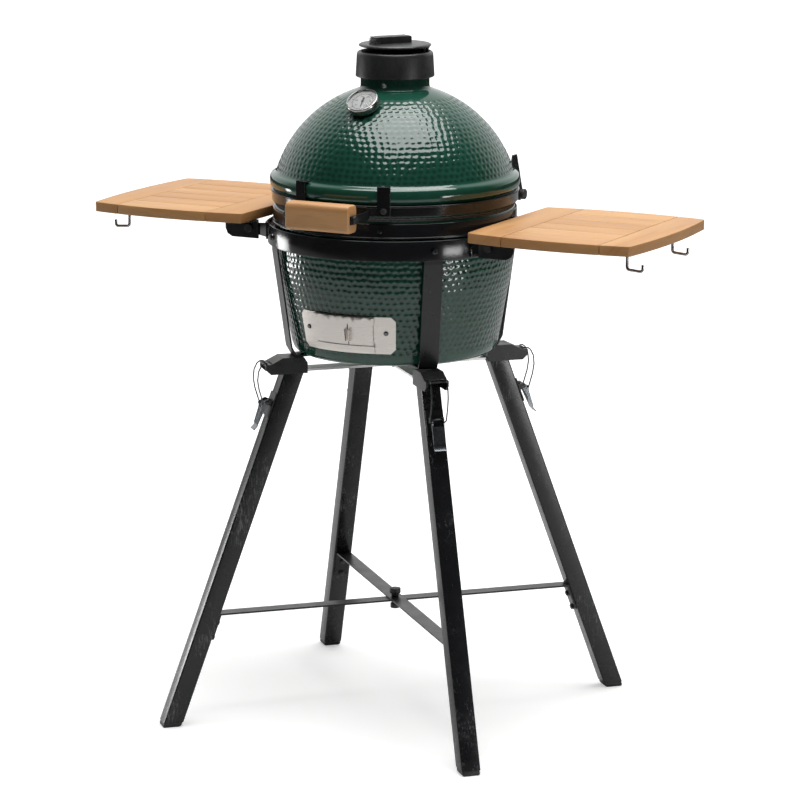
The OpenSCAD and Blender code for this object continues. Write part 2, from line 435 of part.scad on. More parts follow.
// ---------- handle ----------
hz = joint_z + 13; grip_h = 45; grip_d = 30;
module handle_grip() { color("#c07f45") translate([-grip_len/2, -grip_y, hz]) rotate([90, 0, 90]) linear_extrude(grip_len) difference() {
  polygon([[-grip_d/2, -grip_h/2+9], [-grip_d/2, grip_h/2-9], [-grip_d/2+7, grip_h/2], [grip_d/2-7, grip_h/2], [grip_d/2, grip_h/2-9], [grip_d/2, -grip_h/2+9], [grip_d/2-7, -grip_h/2], [-grip_d/2+7, -grip_h/2]]);
  circle(r = 4.1);
} }
plate_r = band_hi_r + 2.1; ca = clip_a;
module handle_bracket() { color("#17181a") for (s = [-1, 1]) mirror([s < 0 ? 1 : 0, 0, 0]) difference() {
  union() {
    intersection() { arc(band_hi_r + 0.1, rim_r + 0.3, band_hi_z0 + 1, band_hi_z1 - 3, clip_a - 1, 5); cylinder(r = rim_r + 0.3, h = 1000); }
    translate([0, 0, hz - 8]) linear_extrude(14) ribbon([[(rim_r-1.4)*sin(15.6), -(rim_r-1.4)*cos(15.6)], [grip_len/2 + 1.7, -(rim_r+10)], [grip_len/2 + 1.7, -grip_y - 9]], 3);
  }
  translate([0, -grip_y, hz]) rotate([0, 90, 0]) cylinder(r = 4.1, h = 200);
  cylinder(r = band_hi_r + 0.1, h = 1000);
} }
module handle_rod() { color("#1b1b1c") translate([0, -grip_y, hz]) rotate([0, 90, 0]) union() { cylinder(r = 4, h = grip_len + 9, center = true); for (s = [-1, 1]) translate([0, 0, s*(grip_len/2 + 5.3)]) cylinder(r = 6.5, h = 4, center = true); } }

// ---------- vent cap ----------
cz0 = neck_z1 - 3; cz1 = cz0 + 42; flap_z = cz1 + 7.5; flap_t = 5; pin_z = cz1 + 4.4;
cap_y = flap_r - 3;     // pivot, behind the cap's axis
module at_cap() { rotate([0, 0, cap_turn]) children(); }   // +X of this frame points along the grip
module cap_vents() { for (i = [0:4]) rotate([0, 0, 72*i]) translate([34, 0, -30]) cylinder(r = 11, h = 60); }
module cap_body() { color("#2a2b2d") union() {
  turned([[neck_r+0.2, cz0], [cap_r-1.5, cz0], [cap_r, cz0+1.5], [cap_r-2.5, cz1-5], [cap_r-4, cz1-1.5], [cap_r-7, cz1], [cap_r-9, cz1], [cap_r-9, cz1-12], [cap_r-6.5, cz1-15], [cap_r-5.5, cz0+8], [neck_r-10, cz0+8], [neck_r-10, neck_z1+0.05], [neck_r+0.2, neck_z1+0.05]]);
  translate([0, 0, cz1 - 20]) difference() { cylinder(r = cap_r - 6, h = 4); at_cap() cap_vents(); }
  translate([0, 0, cz1 - 18]) cylinder(r = 4, h = 10);
  at_cap() for (s = [-1, 1]) translate([-cap_y, s*9, 0]) { translate([-1, -1.5, cz1 - 11.5]) cube([5, 3, 11.5 + 4.4]); translate([0, 0, pin_z]) rotate([90, 0, 0]) cylinder(r = 3, h = 3, center = true); }
  at_cap() translate([-cap_y, 0, pin_z]) cross_pin(1.8, 10.4);
} }
module cap_damper() { color("#242526") difference() {
  union() { translate([0, 0, cz1 - 15.6]) cylinder(r = cap_r - 10.5, h = 3); at_cap() translate([44, -4, cz1 - 14]) cube([8, 8, 8]); }
  at_cap() translate([0, 0, cz1]) cap_vents();
  translate([0, 0, cz1 - 30]) cylinder(r = 4 + run, h = 60);
} }
module cap_flap() { color("#2a2b2d") at_cap() difference() {
  union() {
    turned([[0, flap_z], [flap_r-3, flap_z], [flap_r, flap_z+1.5], [flap_r, flap_z+3.2], [flap_r-2, flap_z+flap_t], [0, flap_z+flap_t+0.8]]);
    translate([0, 11, flap_z + 3]) rotate([90, 0, 0]) linear_extrude(22) polygon([[-26, 0], [-26, 14.2], [30, 14.8], [37, 14], [40, 12], [41.5, 0]]);
    for (i = [0:4]) translate([31, -11.8, flap_z + flap_t + 0.4 + 2.5*i]) cube([12.4 - 0.5*i, 23.6, 1.5]);
    translate([-cap_y - 4, -7, pin_z]) cube([8, 14, flap_z + 1 - pin_z]);
    translate([-cap_y, 0, pin_z]) cross_pin(4, 7);
  }
  translate([-cap_y, 0, pin_z]) cross_pin(1.8 + run, 20);
} }

legs_front();
legs_back();
foot_plugs();
brace_lower();
brace_upper();
brace_bolts();
leg_brackets();
base_beams();
beam_bolt();
cradle_straps();
carrier_ring();
latch_plates();
latch_rivets();
base_shell();
fire_box();
fire_ring();
fire_grate();
cooking_grid();
base_gasket();
base_band();
base_bolts();
door_frame();
door_screws();
door_panel_left();
door_panel_right();
hinge_bracket_lower();
hinge_shaft();
hinge_springs();
shelf_brackets();
shelf_pivot_bolts();
dome();
dome_gasket();
dome_band();
dome_clips();
dome_bolts();
hinge_bracket_upper();
handle_bracket();
handle_grip();
handle_rod();
thermometer_case();
thermometer_dial();
thermometer_glass();
thermometer_needle();
cap_body();
cap_damper();
cap_flap();
latch_1();
latch_2();
latch_3();
latch_4();
bail_1();
bail_2();
bail_3();
bail_4();
shelf_right();
shelf_left();
shelf_irons_right();
shelf_irons_left();
brace_knob();
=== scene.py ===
import math

import bmesh
import bpy
import numpy as np
from mathutils import Matrix, Vector


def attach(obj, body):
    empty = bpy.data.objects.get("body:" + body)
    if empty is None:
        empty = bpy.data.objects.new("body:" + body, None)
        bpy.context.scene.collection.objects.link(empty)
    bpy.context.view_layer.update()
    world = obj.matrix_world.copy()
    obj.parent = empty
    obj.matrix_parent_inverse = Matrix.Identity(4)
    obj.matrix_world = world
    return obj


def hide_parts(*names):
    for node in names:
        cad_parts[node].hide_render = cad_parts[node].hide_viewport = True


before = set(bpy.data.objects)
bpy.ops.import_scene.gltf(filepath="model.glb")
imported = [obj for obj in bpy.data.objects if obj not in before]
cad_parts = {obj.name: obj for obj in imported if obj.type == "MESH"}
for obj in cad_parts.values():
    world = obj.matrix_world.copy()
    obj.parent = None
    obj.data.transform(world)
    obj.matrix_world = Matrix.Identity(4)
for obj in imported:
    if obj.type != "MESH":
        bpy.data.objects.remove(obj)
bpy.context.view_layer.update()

# ---------------------------------------------------------------- legs
# Four square steel tubes that lean in under the egg, welded from strip and coated in glossy black powder.
# The coating is scratched and dusty from being carried and folded away, the legs more than the other stand parts.
MM = 0.001
LEG_FOOT_RADIUS = 397.0
LEG_LEAN = math.radians(20)
LEG_WIDTH = 32.0
LEG_CORNER = 2.6


def new_shader(name):
    """An empty material with its principled shader."""
    look = bpy.data.materials.new(name)
    look.use_nodes = True
    tree = look.node_tree
    shader = tree.nodes["Principled BSDF"]
    return look, tree, shader


def add_node(tree, kind, **values):
    node = tree.nodes.new(kind)
    for key, value in values.items():
        if hasattr(node, key):
            setattr(node, key, value)
        else:
            node.inputs[key.replace("_", " ")].default_value = value
    return node


def object_coords(tree, scale=(1, 1, 1), turn=(0, 0, 0)):
    """The place on the piece itself, in metres, stretched and turned."""
    coords = add_node(tree, "ShaderNodeTexCoord")
    mapping = add_node(tree, "ShaderNodeMapping")
    mapping.inputs["Scale"].default_value = scale
    mapping.inputs["Rotation"].default_value = turn
    tree.links.new(coords.outputs["Object"], mapping.inputs["Vector"])
    return mapping.outputs["Vector"]


def speckle(tree, vector, scale, detail=3.0, rough=0.55):
    noise = add_node(tree, "ShaderNodeTexNoise")
    noise.inputs["Scale"].default_value = scale
    noise.inputs["Detail"].default_value = detail
    noise.inputs["Roughness"].default_value = rough
    tree.links.new(vector, noise.inputs["Vector"])
    return noise.outputs["Fac"]


def graded(tree, factor, stops):
    """A colour ramp: stops are (place, colour)."""
    ramp = add_node(tree, "ShaderNodeValToRGB")
    while len(ramp.color_ramp.elements) < len(stops):
        ramp.color_ramp.elements.new(0.5)
    for element, (place, colour) in zip(ramp.color_ramp.elements, stops):
        element.position = place
        element.color = (*colour, 1) if len(colour) == 3 else colour
    tree.links.new(factor, ramp.inputs["Fac"])
    return ramp.outputs["Color"]


def ranged(tree, factor, low, high, to_low, to_high):
    span = add_node(tree, "ShaderNodeMapRange")
    for key, value in zip(("From Min", "From Max", "To Min", "To Max"), (low, high, to_low, to_high)):
        span.inputs[key].default_value = value
    tree.links.new(factor, span.inputs["Value"])
    return span.outputs["Result"]


def blended(tree, factor, one, two, mode="MIX"):
    mix = add_node(tree, "ShaderNodeMix", data_type="RGBA", blend_type=mode)
    for socket, value in ((mix.inputs["Factor"], factor), (mix.inputs[6], one), (mix.inputs[7], two)):
        if isinstance(value, (int, float)):
            socket.default_value = value
        elif isinstance(value, tuple):
            socket.default_value = (*value, 1)
        else:
            tree.links.new(value, socket)
    return mix.outputs[2]


def raised(tree, shader, height, strength, distance=0.001):
    bump = add_node(tree, "ShaderNodeBump")
    bump.inputs["Strength"].default_value = strength
    bump.inputs["Distance"].default_value = distance
    tree.links.new(height, bump.inputs["Height"])
    tree.links.new(bump.outputs["Normal"], shader.inputs["Normal"])


def powder_coat(name, wear, gloss=0.16, dust=(0.15, 0.15, 0.155)):
    """Glossy black powder coat. wear is how far the scuffs spread, gloss its lowest roughness."""
    look, tree, shader = new_shader(name)
    place = object_coords(tree)
    scratches = speckle(tree, object_coords(tree, (60, 60, 9), (0.3, 0.25, 0.4)), 6, 6, 0.7)
    patches = speckle(tree, place, 9, 4, 0.65)
    both = add_node(tree, "ShaderNodeMath", operation="MULTIPLY")
    tree.links.new(scratches, both.inputs[0])
    tree.links.new(patches, both.inputs[1])
    worn = ranged(tree, both.outputs[0], 0.42 - wear, 0.5 - wear * 0.6, 0.0, 1.0)
    tree.links.new(blended(tree, worn, (0.0075, 0.0078, 0.009), dust), shader.inputs["Base Color"])
    shine = speckle(tree, place, 30, 4, 0.6)
    tree.links.new(ranged(tree, shine, 0.3, 0.7, gloss, gloss + 0.12), shader.inputs["Roughness"])
    shader.inputs["Specular IOR Level"].default_value = 0.42
    raised(tree, shader, speckle(tree, place, 420, 2), 0.05)
    return look


def closed_mesh(name, points, faces, look, smooth=35):
    """A mesh piece from points in millimetres, with its faces turned outwards."""
    data = bpy.data.meshes.new(name)
    data.from_pydata([tuple(float(c) * MM for c in p) for p in points], [], faces)
    form = bmesh.new()
    form.from_mesh(data)
    bmesh.ops.remove_doubles(form, verts=form.verts, dist=1e-6)
    bmesh.ops.recalc_face_normals(form, faces=form.faces)
    form.to_mesh(data)
    form.free()
    data.materials.append(look)
    data.polygons.foreach_set("use_smooth", [True] * len(data.polygons))
    data.set_sharp_from_angle(angle=math.radians(smooth))
    piece = bpy.data.objects.new(name, data)
    bpy.context.scene.collection.objects.link(piece)
    return piece


def in_place(piece, body, finish, *nodes):
    """The piece moves with its body and stands for those nodes, which are hidden. finish is not used."""
    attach(piece, body)
    if nodes:
        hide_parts(*nodes)
    return piece


def merged(name, parts):
    """Several pieces joined into one mesh."""
    form = bmesh.new()
    looks = []
    for part in parts:
        for own in part.data.materials:
            if own not in looks:
                looks.append(own)
        start = len(form.faces)
        form.from_mesh(part.data)
        form.faces.ensure_lookup_table()
        for face in form.faces[start:]:
            face.material_index = looks.index(part.data.materials[face.material_index])
    data = bpy.data.meshes.new(name)
    form.to_mesh(data)
    form.free()
    for own in looks:
        data.materials.append(own)
    for part in parts:
        bpy.data.objects.remove(part)
    piece = bpy.data.objects.new(name, data)
    bpy.context.scene.collection.objects.link(piece)
    return piece


def leg_frame(quarter):
    """The frame of one leg: z up along the tube, x out of its outer face."""
    turn = Matrix.Rotation(math.radians(45 + 90 * quarter), 4, "Z")
    return turn @ Matrix.Translation((LEG_FOOT_RADIUS, 0, 0)) @ Matrix.Rotation(-LEG_LEAN, 4, "Y")


def rounded_square(half, corner, steps=4):
    loop = []
    for quarter in range(4):
        centre = Vector(((half - corner) * (1, -1, -1, 1)[quarter], (half - corner) * (1, 1, -1, -1)[quarter]))
        for step in range(steps + 1):
            a = math.pi / 2 * (quarter + step / steps)
            loop.append(centre + Vector((math.cos(a), math.sin(a))) * corner)
    return loop


def square_tube(name, quarter, stations, look):
    """A hollow or solid square bar along a leg. stations are (half width, corner, height above the floor or None, place along the leg)."""
    into = leg_frame(quarter)
    points, count = [], 0
    for half, corner, floor_cut, along in stations:
        loop = rounded_square(half, corner)
        count = len(loop)
        for p in loop:
            if floor_cut is None:
                spot = into @ Vector((p.x, p.y, along))
            else:
                low, high = into @ Vector((p.x, p.y, 0)), into @ Vector((p.x, p.y, 100))
                spot = low + (high - low) * (floor_cut - low.z) / (high.z - low.z)
            points.append(spot)
    faces = []
    rings = len(stations)
    for ring in range(rings - 1):
        for i in range(count):
            j = (i + 1) % count
            faces.append((ring * count + i, ring * count + j, (ring + 1) * count + j, (ring + 1) * count + i))
    faces.append(tuple(range(count))[::-1])
    faces.append(tuple((rings - 1) * count + i for i in range(count)))
    return closed_mesh(name, points, faces, look)


leg_coat = powder_coat("leg_powder_coat", 0.125, 0.2)
half = LEG_WIDTH / 2
for name, quarters in (("legs_back", (0, 1)), ("legs_front", (2, 3))):
    tubes = []
    for quarter in quarters:
        tubes.append(
            square_tube(
                f"tube_{quarter}",
                quarter,
                [
                    (half - 2, 1.5, 8.2, None),
                    (half - 0.4, LEG_CORNER, 8.0, None),
                    (half, LEG_CORNER, 8.5, None),
                    (half, LEG_CORNER, None, 642.6),
                    (half - 0.4, LEG_CORNER, None, 643),
                    (half - 2, 1.5, None, 643),
                    (half - 2, 1.5, None, 600),
                ],
                leg_coat,
            )
        )
    in_place(merged(name + "_tubes", tubes), "stand", "powder_black", name)

# ---------------------------------------------------------------- foot plugs
# Black plastic plugs pushed into the lower ends of the tubes, cut flat to stand on the floor.
plug_look, plug_tree, plug_shader = new_shader("plug_plastic")
plug_shader.inputs["Base Color"].default_value = (0.016, 0.016, 0.017, 1)
plug_shader.inputs["Roughness"].default_value = 0.5
raised(plug_tree, plug_shader, speckle(plug_tree, object_coords(plug_tree), 900, 2), 0.15, 0.0004)
plugs = [
    square_tube(
        f"plug_{quarter}",
        quarter,
        [
            (half - 3.2, 2.0, 0.0, None),
            (half - 1.8, 2.4, 1.2, None),
            (half - 1.0, 2.4, 3.0, None),
            (half - 1.0, 2.4, 8.0, None),
            (half - 2.05, 1.5, 8.05, None),
            (half - 2.05, 1.5, None, 34),
        ],
        plug_look,
    )
    for quarter in range(4)
]
in_place(merged("end_plugs", plugs), "stand", "black_plastic", "foot_plugs")

# ---------------------------------------------------------------- cross bars, brackets, beams, straps
# Flat bar and sheet, sheared, bent and drilled, then coated like the legs: the cross bars low down, the
# sockets that the legs slide into, the two beams that tie them, and the straps that carry the base.
stand_coat = powder_coat("stand_powder_coat", 0.04, 0.26)


def edged(name, node, look, edge, part=None, smooth=32, fine=2):
    """The cut and bent piece with its edges broken: node's own solid, with a small bevel."""
    form = bmesh.new()
    form.from_mesh(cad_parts[node].data)
    bmesh.ops.remove_doubles(form, verts=form.verts, dist=2e-6)
    if part is not None:
        left, seen = [], set()
        for start in form.verts:
            if start in seen:
                continue
            group, stack = [], [start]
            seen.add(start)
            while stack:
                vert = stack.pop()
                group.append(vert)
                for link in vert.link_edges:
                    other = link.other_vert(vert)
                    if other not in seen:
                        seen.add(other)
                        stack.append(other)
            middle = sum((v.co for v in group), Vector()) / len(group) / MM
            if not part(middle):
                left += group
        bmesh.ops.delete(form, geom=left, context="VERTS")
    if edge:
        bmesh.ops.dissolve_limit(form, angle_limit=math.radians(0.6), verts=form.verts, edges=form.edges)
    data = bpy.data.meshes.new(name)
    form.to_mesh(data)
    form.free()
    data.materials.append(look)
    data.polygons.foreach_set("use_smooth", [True] * len(data.polygons))
    data.set_sharp_from_angle(angle=math.radians(smooth))
    piece = bpy.data.objects.new(name, data)
    bpy.context.scene.collection.objects.link(piece)
    if edge:
        bevel = piece.modifiers.new("edge", "BEVEL")
        bevel.width, bevel.segments = edge * MM, fine
        bevel.limit_method, bevel.angle_limit = "ANGLE", math.radians(smooth)
        bevel.harden_normals = True
    return piece


for node, edge in (
    ("brace_lower", 0.5),
    ("brace_upper", 0.5),
    ("leg_brackets", 0.7),
    ("cradle_straps", 0.6),
):
    in_place(edged(node + "_steel", node, stand_coat, edge), "stand", "powder_black", node)

# ---------------------------------------------------------------- bolts and rivets
# Hexagon heads on washers, some blackened and some plated bright. One small head is repeated at every seat.


def plated(name, colour, rough, metal=1.0):
    look, tree, shader = new_shader(name)
    shader.inputs["Base Color"].default_value = (*colour, 1)
    shader.inputs["Metallic"].default_value = metal
    grain = speckle(tree, object_coords(tree), 260, 3)
    tree.links.new(ranged(tree, grain, 0.3, 0.7, rough * 0.8, rough * 1.3), shader.inputs["Roughness"])
    return look


bright_look = plated("bright_bolt", (0.13, 0.13, 0.135), 0.14)
dark_look = plated("dark_bolt", (0.05, 0.05, 0.052), 0.35, 0.6)


def add_input(tree, name, kind, value=None):
    socket = tree.interface.new_socket(name, in_out="INPUT", socket_type=kind)
    if value is not None:
        socket.default_value = value
    return socket


def start_tree(name):
    tree = bpy.data.node_groups.new(name, "GeometryNodeTree")
    add_input(tree, "Geometry", "NodeSocketGeometry")
    tree.interface.new_socket("Geometry", in_out="OUTPUT", socket_type="NodeSocketGeometry")
    return tree, tree.nodes.new("NodeGroupInput"), tree.nodes.new("NodeGroupOutput")


def finish_tree(tree, made, given, out):
    """Ends a tree: instances realised, the material set."""
    real = tree.nodes.new("GeometryNodeRealizeInstances")
    paint = tree.nodes.new("GeometryNodeSetMaterial")
    tree.links.new(made, real.inputs["Geometry"])
    tree.links.new(real.outputs["Geometry"], paint.inputs["Geometry"])
    tree.links.new(given.outputs["Look"], paint.inputs["Material"])
    tree.links.new(paint.outputs["Geometry"], out.inputs["Geometry"])


def grown(name, carrier, tree, values, smooth=35):
    """The tree run on a carrier mesh with these input values, and its result as a plain mesh."""
    grower = bpy.data.objects.new(name + "_carrier", carrier)
    bpy.context.scene.collection.objects.link(grower)
    change = grower.modifiers.new("grow", "NODES")
    change.node_group = tree
    names = {s.name: s.identifier for s in tree.interface.items_tree if s.item_type == "SOCKET" and s.in_out == "INPUT"}
    for key, value in values.items():
        change[names[key]] = value
    graph = bpy.context.evaluated_depsgraph_get()
    data = bpy.data.meshes.new_from_object(grower.evaluated_get(graph), depsgraph=graph)
    data.name = name
    grower.modifiers.clear()
    bpy.data.objects.remove(grower)
    data.polygons.foreach_set("use_smooth", [True] * len(data.polygons))
    data.set_sharp_from_angle(angle=math.radians(smooth))
    piece = bpy.data.objects.new(name, data)
    bpy.context.scene.collection.objects.link(piece)
    return piece


def points_mesh(name, spots, edges=(), **vectors):
    """A carrier of points in millimetres, with a vector or a number stored on each."""
    data = bpy.data.meshes.new(name)
    data.from_pydata([tuple(float(c) * MM for c in s) for s in spots], list(edges), [])
    for key, rows in vectors.items():
        rows = np.array(rows, float)
        if rows.ndim == 2:
            data.attributes.new(key, "FLOAT_VECTOR", "POINT").data.foreach_set("vector", rows.ravel())
        else:
            data.attributes.new(key, "FLOAT", "POINT").data.foreach_set("value", rows)
    return data


def stored(tree, name, kind="FLOAT_VECTOR"):
    read = tree.nodes.new("GeometryNodeInputNamedAttribute")
    read.data_type = kind
    read.inputs["Name"].default_value = name
    return read.outputs["Attribute"]


head_tree, head_in, head_out = start_tree("bolt_heads")
add_input(head_tree, "Radius", "NodeSocketFloat", 0.005)
add_input(head_tree, "Height", "NodeSocketFloat", 0.004)
add_input(head_tree, "Sides", "NodeSocketInt", 6)
add_input(head_tree, "Look", "NodeSocketMaterial")
heads = head_tree.nodes.new("GeometryNodeInstanceOnPoints")
whole = head_tree.nodes.new("GeometryNodeJoinGeometry")
for radius_share, top_share, tall, lift, sides in (
    (1.25, 1.22, 0.18, 0.0, 28),
    (1.0, 1.0, 0.72, 0.18, None),
    (1.0, 0.8, 0.1, 0.9, None),
):
    cone = head_tree.nodes.new("GeometryNodeMeshCone")
    shift = head_tree.nodes.new("GeometryNodeTransform")
    sink = head_tree.nodes.new("ShaderNodeCombineXYZ")
    for socket, share, source in (("Radius Bottom", radius_share, "Radius"), ("Radius Top", top_share, "Radius"), ("Depth", tall, "Height")):
        times = head_tree.nodes.new("ShaderNodeMath")
        times.operation = "MULTIPLY"
        times.inputs[1].default_value = share
        head_tree.links.new(head_in.outputs[source], times.inputs[0])
        head_tree.links.new(times.outputs[0], cone.inputs[socket])
    times = head_tree.nodes.new("ShaderNodeMath")
    times.operation = "MULTIPLY"
    times.inputs[1].default_value = lift
    head_tree.links.new(head_in.outputs["Height"], times.inputs[0])
    head_tree.links.new(times.outputs[0], sink.inputs["Z"])
    head_tree.links.new(sink.outputs[0], shift.inputs["Translation"])
    if sides:
        cone.inputs["Vertices"].default_value = sides
    else:
        head_tree.links.new(head_in.outputs["Sides"], cone.inputs["Vertices"])
    head_tree.links.new(cone.outputs["Mesh"], shift.inputs["Geometry"])
    head_tree.links.new(shift.outputs["Geometry"], whole.inputs["Geometry"])
aim = head_tree.nodes.new("FunctionNodeAlignRotationToVector")
aim.axis = "Z"
head_tree.links.new(stored(head_tree, "aim"), aim.inputs["Vector"])
head_tree.links.new(head_in.outputs["Geometry"], heads.inputs["Points"])
head_tree.links.new(whole.outputs["Geometry"], heads.inputs["Instance"])
head_tree.links.new(aim.outputs["Rotation"], heads.inputs["Rotation"])
finish_tree(head_tree, heads.outputs["Instances"], head_in, head_out)


def bolt_heads(name, seats, radius, height, look, sides=6):
    """A head at every seat; a seat is a point in millimetres and the way the head faces."""
    carrier = points_mesh(name, [s[0] for s in seats], aim=[tuple(s[1]) for s in seats])
    return grown(
        name,
        carrier,
        head_tree,
        {"Radius": radius * MM, "Height": height * MM, "Sides": sides, "Look": look},
        smooth=28,
    )


beam_look = plated("galvanised_bar", (0.60, 0.60, 0.585), 0.34)
in_place(edged("base_beams_bar", "base_beams", beam_look, 0.5), "stand", "stainless", "base_beams")


def round_seat(from_front, radius, z, tilt=0.0):
    """A seat on a round wall, at an angle from the front in degrees."""
    a = math.radians(from_front)
    out = Vector((math.sin(a), -math.cos(a), 0))
    return out * radius + Vector((0, 0, z)), (out + Vector((0, 0, tilt))).normalized()


brace_seats = []
for quarter in range(4):
    into = leg_frame(quarter)
    top = (188.5 + (0, 3, 0, 3)[quarter]) / math.cos(LEG_LEAN)
    for down in (10, 36):
        spot = into @ Vector((-half - 3.1, 0, top - down))
        brace_seats.append((spot, (into.to_3x3() @ Vector((-1, 0, 0)))))
in_place(bolt_heads("brace_bolt_heads", brace_seats, 4.6, 4.2, dark_look), "stand", "dark_bolt", "brace_bolts")

strap_seats = [round_seat(45 + 90 * k, 212.4, 823.2) for k in range(4)]
arm_seats = [round_seat(s * (90 + t * 19), 215.4, z) for s in (-1, 1) for t in (-1, 1) for z in (814.2, 831.8)]
band_seats = [round_seat(a, 203.1, 855.3) for a in (-20.8, 20.8, 100, -100)]
stand_heads = [
    bolt_heads("strap_heads", strap_seats, 4.8, 4.5, bright_look),
    bolt_heads("arm_heads", arm_seats, 3.6, 4.0, bright_look),
    bolt_heads("band_heads", band_seats, 3.6, 3.6, bright_look),
]
in_place(merged("stand_bolt_heads", stand_heads), "stand", "bright_bolt", "base_bolts")
beam_seats = [((0, 0, 605.1), (0, 0, 1)), ((0, 0, 596.9), (0, 0, -1))]
in_place(bolt_heads("beam_bolt_heads", beam_seats, 6.4, 5.0, bright_look), "stand", "bright_bolt", "beam_bolt")
clip_seats = [round_seat(a, 211.05, 889) for a in (-19.2, 22.6)]
in_place(bolt_heads("clip_bolt_heads", clip_seats, 4.6, 4.8, dark_look), "lid", "dark_bolt", "dome_bolts")

# ---------------------------------------------------------------- turned pieces: knob, ring, bands, felts
# The carrier ring and the two bands are rolled from strip and welded, the clamp knob is moulded, and the
# felts are cut rings glued to the rims. Each is one outline carried round the egg's axis.


def turned(name, outline, look, steps=240, into=None, smooth=32):
    """A closed outline of (radius, height) carried round the axis. A radius of 0 closes on the axis."""
    points, ring = [], []
    for radius, z in outline:
        if radius < 1e-6:
            ring.append([len(points)] * steps)
            points.append(Vector((0, 0, z)))
            continue
        ring.append(list(range(len(points), len(points) + steps)))
        for i in range(steps):
            a = 2 * math.pi * i / steps
            points.append(Vector((radius * math.cos(a), radius * math.sin(a), z)))
    faces = []
    for one, two in zip(ring, ring[1:] + ring[:1]):
        for i in range(steps):
            j = (i + 1) % steps
            corners = []
            for c in (one[i], one[j], two[j], two[i]):
                if c not in corners:
                    corners.append(c)
            if len(corners) > 2:
                faces.append(tuple(corners))
    if into is not None:
        points = [into @ p for p in points]
    return closed_mesh(name, points, faces, look, smooth)


def soft_corners(outline, radius, steps=3):
    """An outline with its corners rounded."""
    result = []
    for i, here in enumerate(outline):
        here = Vector(here)
        before, after = Vector(outline[i - 1]), Vector(outline[(i + 1) % len(outline)])
        if here.x < 1e-6:
            result.append(tuple(here))
            continue
        reach = min(radius, (before - here).length * 0.45, (after - here).length * 0.45)
        a, b = here + (before - here).normalized() * reach, here + (after - here).normalized() * reach
        for step in range(steps + 1):
            t = step / steps
            result.append(tuple(a * (1 - t) ** 2 + here * 2 * t * (1 - t) + b * t**2))
    return result


def band_outline(r0, r1, z0, z1, edge=0.9):
    return soft_corners([(r0, z0), (r1, z0), (r1, z1), (r0, z1)], edge)


band_coat = powder_coat("band_powder_coat", 0.0, 0.08)
knob_outline = soft_corners(
    [
        (0, 172.6), (8, 172.6), (8, 181), (6, 181.4), (6, 186.6), (4.1, 186.6),
        (4.1, 193.4), (6.5, 193.4), (6.5, 198), (9.5, 198.6), (9.5, 207), (0, 207.4),
    ],
    1.2,
)
in_place(turned("cross_knob", knob_outline, plug_look, 48), "knob", "black_plastic", "brace_knob")
in_place(turned("ring_strip", band_outline(209.3, 212.3, 807.2, 839.8), band_coat), "stand", "powder_black", "carrier_ring")
low_band = soft_corners([(200.05, 842), (205, 842), (205, 844.5), (203, 844.7), (203, 866.5), (200.05, 866.5)], 0.9)
in_place(turned("lower_band", low_band, band_coat), "stand", "powder_black", "base_band")
high_band = soft_corners([(202.05, 879), (205, 879), (205, 893.9), (207, 894.1), (207, 896.5), (202.05, 896.5)], 0.9)
in_place(turned("upper_band", high_band, band_coat), "lid", "powder_black", "dome_band")

felt_look, felt_tree, felt_shader = new_shader("grey_felt")
felt_place = object_coords(felt_tree)
felt_tree.links.new(
    graded(felt_tree, speckle(felt_tree, felt_place, 320, 4), [(0.3, (0.055, 0.055, 0.05)), (0.75, (0.15, 0.15, 0.14))]),
    felt_shader.inputs["Base Color"],
)
felt_shader.inputs["Roughness"].default_value = 0.95
raised(felt_tree, felt_shader, speckle(felt_tree, felt_place, 900, 3), 0.6)
in_place(turned("lower_felt", band_outline(180, 199, 870, 873.1, 1.0), felt_look), "stand", "felt", "base_gasket")
in_place(turned("upper_felt", band_outline(187, 201, 873.5, 876.6, 1.0), felt_look), "lid", "felt", "dome_gasket")

# ---------------------------------------------------------------- leg latches
# Pressed, plated levers on rivets. Each pulls a wire bail over the lip of its bracket, which locks the leg in.
lever_look = plated("lever_plate", (0.22, 0.235, 0.25), 0.2)
wire_look = plated("blackened_wire", (0.045, 0.045, 0.047), 0.3, 0.8)
in_place(edged("latch_base_plates", "latch_plates", stand_coat, 0.25), "stand", "powder_black", "latch_plates")
in_place(edged("latch_rivet_pins", "latch_rivets", bright_look, 0), "stand", "bright_bolt", "latch_rivets")

wire_tree, wire_in, wire_out = start_tree("bent_wire")
add_input(wire_tree, "Wire", "NodeSocketFloat", 0.001)
add_input(wire_tree, "Bend", "NodeSocketFloat", 0.004)
add_input(wire_tree, "Look", "NodeSocketMaterial")
to_curve = wire_tree.nodes.new("GeometryNodeMeshToCurve")
fillet = wire_tree.nodes.new("GeometryNodeFilletCurve")
if hasattr(fillet, "mode"):
    fillet.mode = "POLY"
fillet.inputs["Count"].default_value = 6
fillet.inputs["Limit Radius"].default_value = True
section = wire_tree.nodes.new("GeometryNodeCurvePrimitiveCircle")
section.inputs["Resolution"].default_value = 14
sweep = wire_tree.nodes.new("GeometryNodeCurveToMesh")
sweep.inputs["Fill Caps"].default_value = True
wire_tree.links.new(wire_in.outputs["Geometry"], to_curve.inputs["Mesh"])
wire_tree.links.new(to_curve.outputs["Curve"], fillet.inputs["Curve"])
wire_tree.links.new(wire_in.outputs["Bend"], fillet.inputs["Radius"])
wire_tree.links.new(wire_in.outputs["Wire"], section.inputs["Radius"])
wire_tree.links.new(fillet.outputs["Curve"], sweep.inputs["Curve"])
wire_tree.links.new(section.outputs["Curve"], sweep.inputs["Profile Curve"])
finish_tree(wire_tree, sweep.outputs["Mesh"], wire_in, wire_out)


